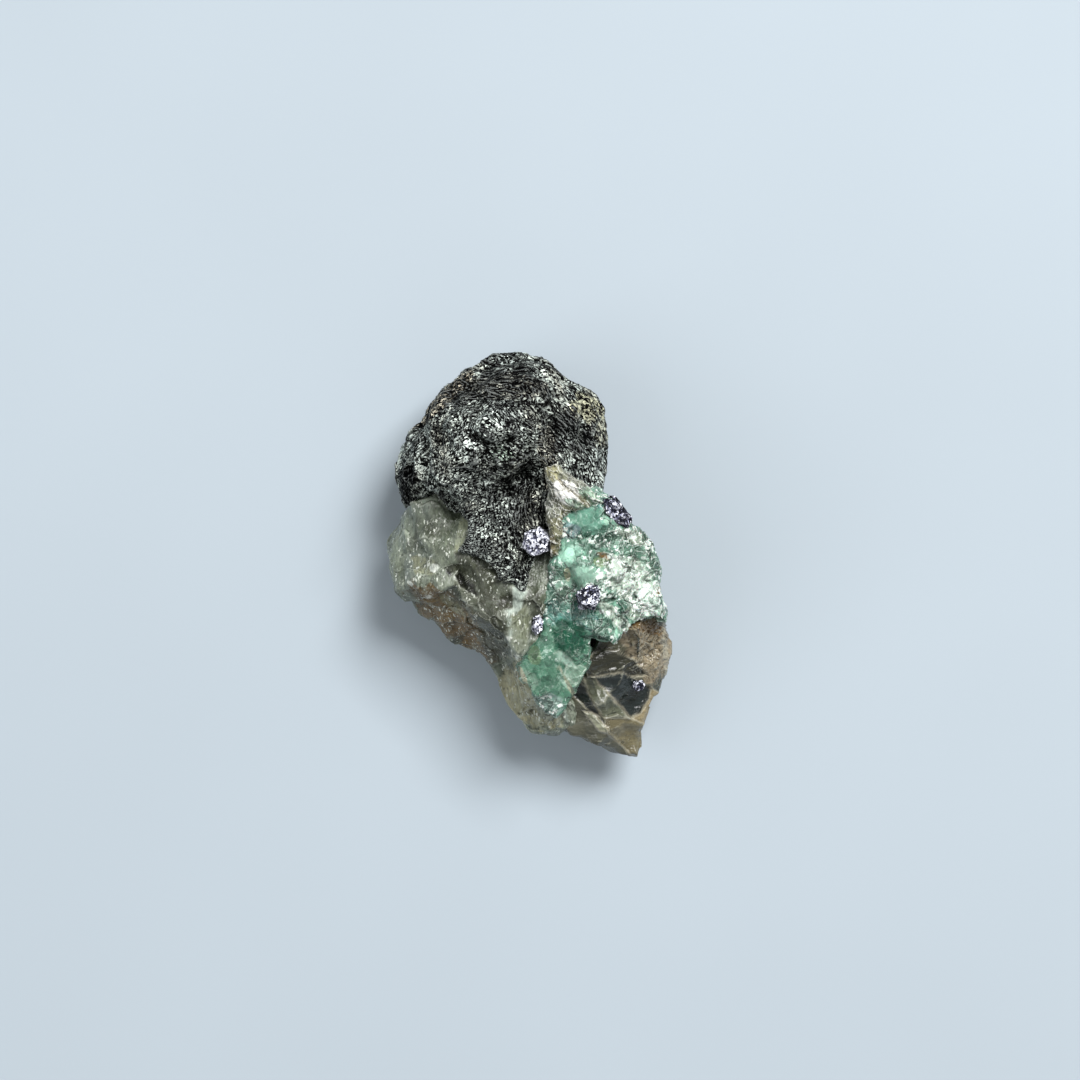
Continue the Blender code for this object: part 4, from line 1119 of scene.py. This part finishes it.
# Quartz mass. Grey-green cloudy quartz that filled the space below the schist and carries the emerald. It is
# streaked on its left knob, stained brown on its lower flank, pitted, and veined with pale films.
QUARTZ_MASS = dict(
    outline=[
        (-12.5, 9.0), (-13.8, 5.6), (-14.9, 3.3), (-15.5, 1.4), (-15.6, -0.8), (-15.3, -3.3),
        (-14.5, -4.7), (-12.4, -5.2), (-11.1, -6.9), (-9.7, -8.6), (-8.2, -9.7), (-6.2, -10.6),
        (-4.5, -12.0), (-3.7, -13.8), (-3.2, -15.7), (-1.8, -17.2), (-0.5, -18.7), (1.1, -19.4),
        (3.1, -19.8), (4.7, -19.6), (7.9, -17.6), (11.4, -14.2), (12.6, -9.7), (12.2, -0.8),
        (9.2, 3.7), (3.5, 8.1), (-5.4, 10.6), (-10.6, 9.9),
    ],
    middle=(-3.2, -5.2),
    tops=[
        (-13.6, 0.0, 12.8), (-11.2, 3.6, 14.0), (-11.8, 7.6, 13.8), (-9.0, -1.6, 15.0), (-6.0, -3.0, 15.4),
        (-3.0, -6.0, 15.2), (-1.0, -10.0, 14.9), (-0.4, -14.0, 13.6), (2.0, -18.0, 12.0), (-9.4, -6.4, 11.6),
        (-4.6, -10.4, 12.6), (4.0, -4.0, 14.2), (10.0, -5.0, 9.5), (3.0, 4.0, 14.0), (-5.0, 7.0, 12.6),
        (8.0, -14.0, 6.5), (-1.0, 2.0, 14.6), (0.4, -3.4, 15.1), (0.2, -5.6, 15.1), (-7.6, 2.0, 14.9),
        (-9.0, 4.6, 14.0), (-7.0, -0.8, 15.3),
    ],
    floors=[(-3.2, -6.0, -1.3), (-12.0, 0.0, 1.8), (1.0, -16.5, 1.6), (8.0, -6.0, 0.2), (-4.0, 5.0, -1.0)],
    belt=0.45,
    fullness=(0.76, 0.60),
    dents=[
        (-7.3, -2.9, 2.0, 0.75, -52, 1.5), (-8.6, 4.9, 1.1, 0.6, 0, 0.9), (-2.6, -4.8, 1.1, 0.9, 20, 0.9),
    ],
    cuts=[
        ("flat", (-9.6, -6.6, 11.6), (-0.52, -0.56, 0.66)),
        ("flat", (-13.9, 2.6, 11.8), (-0.74, 0.16, 0.66)),
        ("bowl", (-9.2, -15.4, 12.0), 8.2),
        ("flat", (-14.2, -0.6, 4.6), (-0.80, -0.10, -0.59)),
        ("flat", (-8.0, -8.6, 3.8), (-0.52, -0.62, -0.59)),
        ("flat", (0.0, -18.0, 4.4), (-0.20, -0.80, -0.57)),
        ("flat", (11.6, -3.0, 3.6), (0.76, 0.14, -0.63)),
    ],
    rough=0.9,
)
QUARTZ_COLOURS = {
    "ground": (108, 116, 99), "shade": (72, 77, 62), "light": (144, 152, 135), "bluish_tone_and_sheen": (114, 122, 112),
    "pale_green": (132, 142, 126), "olive": (132, 134, 108), "pale_olive": (148, 152, 124),
    "white": (222, 226, 216), "pit_shade": (20, 21, 15), "umber": (66, 68, 56), "slate": (66, 69, 54),
    "film": (176, 188, 176), "brown": (102, 79, 36), "grey": (164, 160, 126), "frost": (140, 154, 146),
    "black": (20, 20, 22), "pane": (120, 125, 98), "pocket_shadow": (48, 56, 38), "rim": (176, 180, 164),
    "veil": (158, 166, 150), "clear": (62, 67, 55), "chip": (216, 220, 208), "gap": (50, 54, 42),
    # groove is the painted shade down in the grooves
    "edge": (196, 200, 186), "groove": (40, 40, 31),
}
QUARTZ_PATCHES = [
    # x, y, half length, half width, direction, colour, strength
    # the patch at (-13.4, -1.9) is a painted blue-grey sheen on the left knob, the one at (-1.2, -8.8) the
    # quartz's own blue-grey
    (-13.4, -1.9, 2.44, 0.67, 88, "bluish_tone_and_sheen", 0.8), (-13.9, 3.4, 2.44, 0.78, 78, "pale_green", 0.6),
    (-11.8, -0.9, 1.22, 1.0, 0, "olive", 0.8), (-7.6, 3.2, 2.2, 0.5, 78, "pale_olive", 0.7),
    (-9.2, -6.2, 4.4, 1.9, -36, "brown", 0.9), (-6.0, -9.6, 2.9, 1.7, -48, "brown", 0.9),
    (-4.1, -7.6, 1.7, 3.9, 8, "slate", 0.85), (-5.8, -1.2, 2.4, 1.2, -30, "umber", 0.85),
    # the black patch at (-8.9, -1.6) is painted shade at the deep end of the dented hollow there
    (-5.0, -3.3, 0.8, 0.9, 10, "slate", 0.9), (-8.9, -1.6, 0.5, 0.35, -44, "black", 1.0),
    # the umber patch at (-2.8, -4.9) is painted shade in the small dented hollow there
    (-4.8, -4.0, 4.2, 2.8, -35, "slate", 0.75), (-2.8, -4.9, 1.0, 0.67, 20, "umber", 0.9),
    (-1.2, -8.8, 1.0, 2.22, 4, "bluish_tone_and_sheen", 0.7), (0.4, -5.0, 0.67, 2.67, 8, "slate", 0.7),
    (-0.4, -15.4, 4.0, 2.89, -50, "grey", 0.8), (-2.8, -17.0, 2.67, 0.67, -55, "grey", 0.7),
    (1.8, -16.2, 1.33, 1.56, 0, "frost", 0.5), (3.6, -17.0, 2.0, 0.22, 102, "film", 0.8),
    (-8.7, -5.2, 1.56, 0.44, -40, "pale_olive", 0.5), (-4.9, -4.1, 0.78, 0.56, 20, "slate", 0.7),
    (-10.7, -1.1, 0.5, 0.39, 20, "white", 1.0), (-13.4, -2.8, 0.33, 0.17, -30, "white", 0.8),
    (-11.3, -4.3, 0.33, 0.17, 10, "white", 0.8), (-2.5, -8.8, 0.18, 0.36, 0, "white", 0.9),
    (-1.6, -10.8, 0.18, 0.28, 0, "white", 0.9),
]
QUARTZ_FACETS = [
    # corners, colour, strength, how pale the rim is
    ([(-2.2, -6.3), (-0.6, -5.2), (-0.1, -6.5), (-0.5, -9.5), (-1.5, -10.6), (-2.3, -9.4)],
     "pane", 0.7, 0.3),
    ([(-2.2, -3.2), (-0.7, -2.9), (-0.4, -3.8), (-0.9, -4.6), (-1.9, -4.5)], "film", 0.95, 0.4),
    ([(-1.8, -4.0), (-1.0, -4.0), (-1.0, -5.2), (-1.7, -6.2), (-2.2, -6.0)], "film", 0.95, 0.0),
    ([(-3.2, -5.7), (-1.4, -5.6), (-2.2, -6.3)], "film", 0.95, 0.3),
    ([(-2.6, -6.0), (-2.25, -6.0), (-2.3, -9.2), (-2.5, -9.2)], "film", 0.9, 0.0),
    # the near-black facet over the deep dent at (-7.3, -2.9) is painted shade in that hollow, and the dark
    # green one at (-8.6, 4.8) is a painted shadow under the schist's overhanging edge
    ([(-8.7, -1.7), (-7.9, -1.6), (-6.2, -2.9), (-5.7, -4.3), (-6.4, -4.2), (-7.9, -3.2)],
     "pit_shade", 0.95, 0.5),
    ([(-9.3, 5.4), (-7.6, 5.4), (-7.6, 4.3), (-8.6, 4.1)], "pocket_shadow", 0.95, 0.0),
]


def quartz_relief(points, facing):
    """Uneven glassy breaks: leaning facets of 2.8 mm with finer ones on them, and thin upright streaks.
    Also gives each facet's tone."""
    shaken = points + 0.4 * np.column_stack([soft_noise(points, 1.5, seed) for seed in (605, 606, 607)])
    coarse, _, chance = broken_facets(shaken, 2.8, 601)
    middle, _, second_chance = broken_facets(shaken, 1.1, 608)
    fine, _, _ = broken_facets(shaken * (1.0, 0.6, 0.8), 0.5, 602)
    streaks = rough_noise(points * (1.0, 0.2, 0.35), 0.5, 603, 3)
    height = 0.48 * coarse + 0.15 * middle + 0.06 * fine + 0.04 * streaks
    tone = 1 + 0.30 * (chance - 0.5) + 0.20 * (second_chance - 0.5)
    return points + facing * (height + 0.05 * rough_noise(points, 1.2, 604))[:, None], tone


def quartz_finish():
    """Cloudy quartz: its painted colour with pale streaks, upright on top and level on the flank, milky
    veils, dark clear spots, white chips, and a glassy surface that lets a little light in."""
    material, tree, shader = new_finish("cloudy_grey_quartz")
    place = in_millimetres(tree)
    upright = wavered(tree, in_millimetres(tree, (0.22, 1.0, 0.8), 6), 1.5, 0.8)
    level = wavered(tree, in_millimetres(tree, (1.0, 0.24, 0.8), 44), 1.5, 0.6)
    streaks = mixed(tree, painted_layer(tree, "flank", "Fac"), upright, level)
    shade = cloud(tree, streaks, 1.0, 6.0, 0.7)
    shade = ramp(tree, shade, [(0.32, 0.62), (0.5, 0.95), (0.60, 1.18), (0.70, 1.9)])
    colour = mixed(tree, 1.0, painted_layer(tree, "tint"), shade, "MULTIPLY")
    veil = ramp(tree, cloud(tree, wavered(tree, place, 0.9, 1.0), 1.6, 5.0), [(0.53, 0.0), (0.60, 0.35)])
    bright = ramp(tree, painted_layer(tree, "tint"), [(0.03, 0.0), (0.12, 1.0)])
    colour = covered(tree, sums(tree, "MULTIPLY", veil, bright), colour, QUARTZ_COLOURS["veil"])
    clear = ramp(tree, cloud(tree, wavered(tree, place, 0.7, 1.2), 2.2, 5.0), [(0.34, 0.45), (0.42, 0.0)])
    colour = covered(tree, clear, colour, QUARTZ_COLOURS["clear"])
    chips = grains(tree, wavered(tree, in_millimetres(tree, (0.6, 1.2, 0.8), 15), 0.4, 0.4), 0.26)
    chance = sums(tree, "MULTIPLY_ADD", cloud(tree, place, 1.2, 2.0), 0.5, one_channel(tree, chips))
    chipped = ramp(tree, sums(tree, "MULTIPLY", chance, 0.5), [(0.60, 0.0), (0.61, 0.85)])
    colour = covered(tree, chipped, colour, QUARTZ_COLOURS["chip"])
    dark = ramp(tree, one_channel(tree, chips, 1), [(0.0, 0.55), (0.12, 0.0)])
    colour = covered(tree, dark, colour, QUARTZ_COLOURS["gap"])
    colour = pale_edges_shaded_grooves(tree, colour, QUARTZ_COLOURS, 0.35, 0.6)
    wire(tree, shader.inputs["Base Color"], colour)
    wire(tree, shader.inputs["Roughness"], sums(tree, "MULTIPLY_ADD", cloud(tree, place, 0.9), 0.42, 0.0))
    shader.inputs["IOR"].default_value = 1.545
    shader.inputs["Subsurface Weight"].default_value = 0.15
    shader.inputs["Subsurface Radius"].default_value = (0.5 * MM, 0.6 * MM, 0.5 * MM)
    fine = relief(tree, cloud(tree, streaks, 0.5, 4.0), 0.08)
    wire(tree, shader.inputs["Normal"], tilted_flakes(tree, chips, 0.30, fine))
    return material


directions, faces = ball_of_cells(cells=127)
neighbours = [
    SCHIST_CAP, SCHIST_TONGUE, SMOKY_POINT, EMERALD_BLOCK, EMERALD_PRISM, FELDSPAR_HEAD, FELDSPAR_STRIP,
]
points = seated(lump_surface(directions, QUARTZ_MASS, seed=11), neighbours)
points, tone = quartz_relief(points, facings(points, faces))
points[:, 2] = np.maximum(points[:, 2], 0)
facing = facings(points, faces)
quartz = stone_mesh("grey_quartz_mass", points, faces)
tint = mottled(points, facing, QUARTZ_COLOURS, QUARTZ_PATCHES, 611) * tone[:, None]
tint = faceted(tint, points, facing, QUARTZ_COLOURS, QUARTZ_FACETS, 614)
paint(quartz, "tint", tint, "FLOAT_COLOR")
# the flank lies below y = -3.5 and left of x = -3, and fades in over 2 and 1.5 mm
flank = np.clip((-3.5 - points[:, 1]) / 2, 0, 1) * np.clip((-3.0 - points[:, 0]) / 1.5, 0, 1)
paint(quartz, "flank", flank)
paint(quartz, "edge", edges_and_grooves(points, faces, facing))
quartz.data.materials.append(quartz_finish())
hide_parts("quartz_mass")

# Table. A plain sheet of pale matt card that the stone lies loose on, lit softly by a large lamp at the
# upper right, like a window, and by a weak one opposite. The stone is seen from straight above.
SHEET_COLOUR = (175, 186, 194)
SHEET_HALF_SIDE = 1.5  # metres


def sheet_finish():
    """Pale matt card with a very faint unevenness."""
    material, tree, shader = new_finish("pale_card")
    tone = cloud(tree, in_millimetres(tree), 60.0, 2.0)
    pale = pigment(SHEET_COLOUR)
    wire(tree, shader.inputs["Base Color"], ramp(tree, tone, [(0.3, pale * 0.98), (0.7, pale * 1.02)]))
    shader.inputs["Roughness"].default_value = 0.7
    return material


corners = np.array([(-1, -1, 0), (1, -1, 0), (1, 1, 0), (-1, 1, 0)]) * SHEET_HALF_SIDE
sheet_mesh = bpy.data.meshes.new("pale_sheet")
sheet_mesh.from_pydata(corners.tolist(), [], [(0, 1, 2, 3)])
sheet = in_scene("pale_sheet", sheet_mesh)
sheet.data.materials.append(sheet_finish())


def soft_light(name, place, width, power, colour=(1.0, 1.0, 1.0)):
    """A square lamp at a place, facing the stone. Place and width are in metres, and power is in watts."""
    lamp = bpy.data.lights.new(name, "AREA")
    lamp.size = width
    lamp.energy = power
    lamp.color = colour
    holder = in_scene(name, lamp)
    holder.location = place
    back = np.array(place) / np.linalg.norm(place)
    holder.rotation_euler = (np.arccos(back[2]), 0, np.arctan2(back[0], -back[1]))


soft_light("window_light", place=(0.36, 0.48, 0.80), width=0.46, power=13.0)
soft_light("bounce_light", place=(-0.60, -0.10, 0.55), width=0.60, power=2.0, colour=(0.95, 0.98, 1.0))
world = bpy.data.worlds.new("soft_room")
world.use_nodes = True
room_light = world.node_tree.nodes["Background"]
room_light.inputs["Color"].default_value = (0.97, 0.98, 1.0, 1.0)
room_light.inputs["Strength"].default_value = 0.28
bpy.context.scene.world = world
bpy.context.scene.view_settings.view_transform = "Standard"

VIEW_MIDDLE = (1.10, 1.76, 8.0)  # what the picture's middle looks at
VIEW_WIDTH = 120.0  # how much of the stone's level the picture takes in
VIEW_HEIGHT = 420.0  # of the camera, over the picture's middle
SENSOR_WIDTH = 36.0
eye = bpy.data.cameras.new("overhead_camera")
eye.sensor_width = SENSOR_WIDTH
eye.lens = SENSOR_WIDTH * VIEW_HEIGHT / VIEW_WIDTH
camera = in_scene("overhead_camera", eye)
camera.location = np.array(VIEW_MIDDLE) * MM + (0, 0, VIEW_HEIGHT * MM)
bpy.context.scene.camera = camera
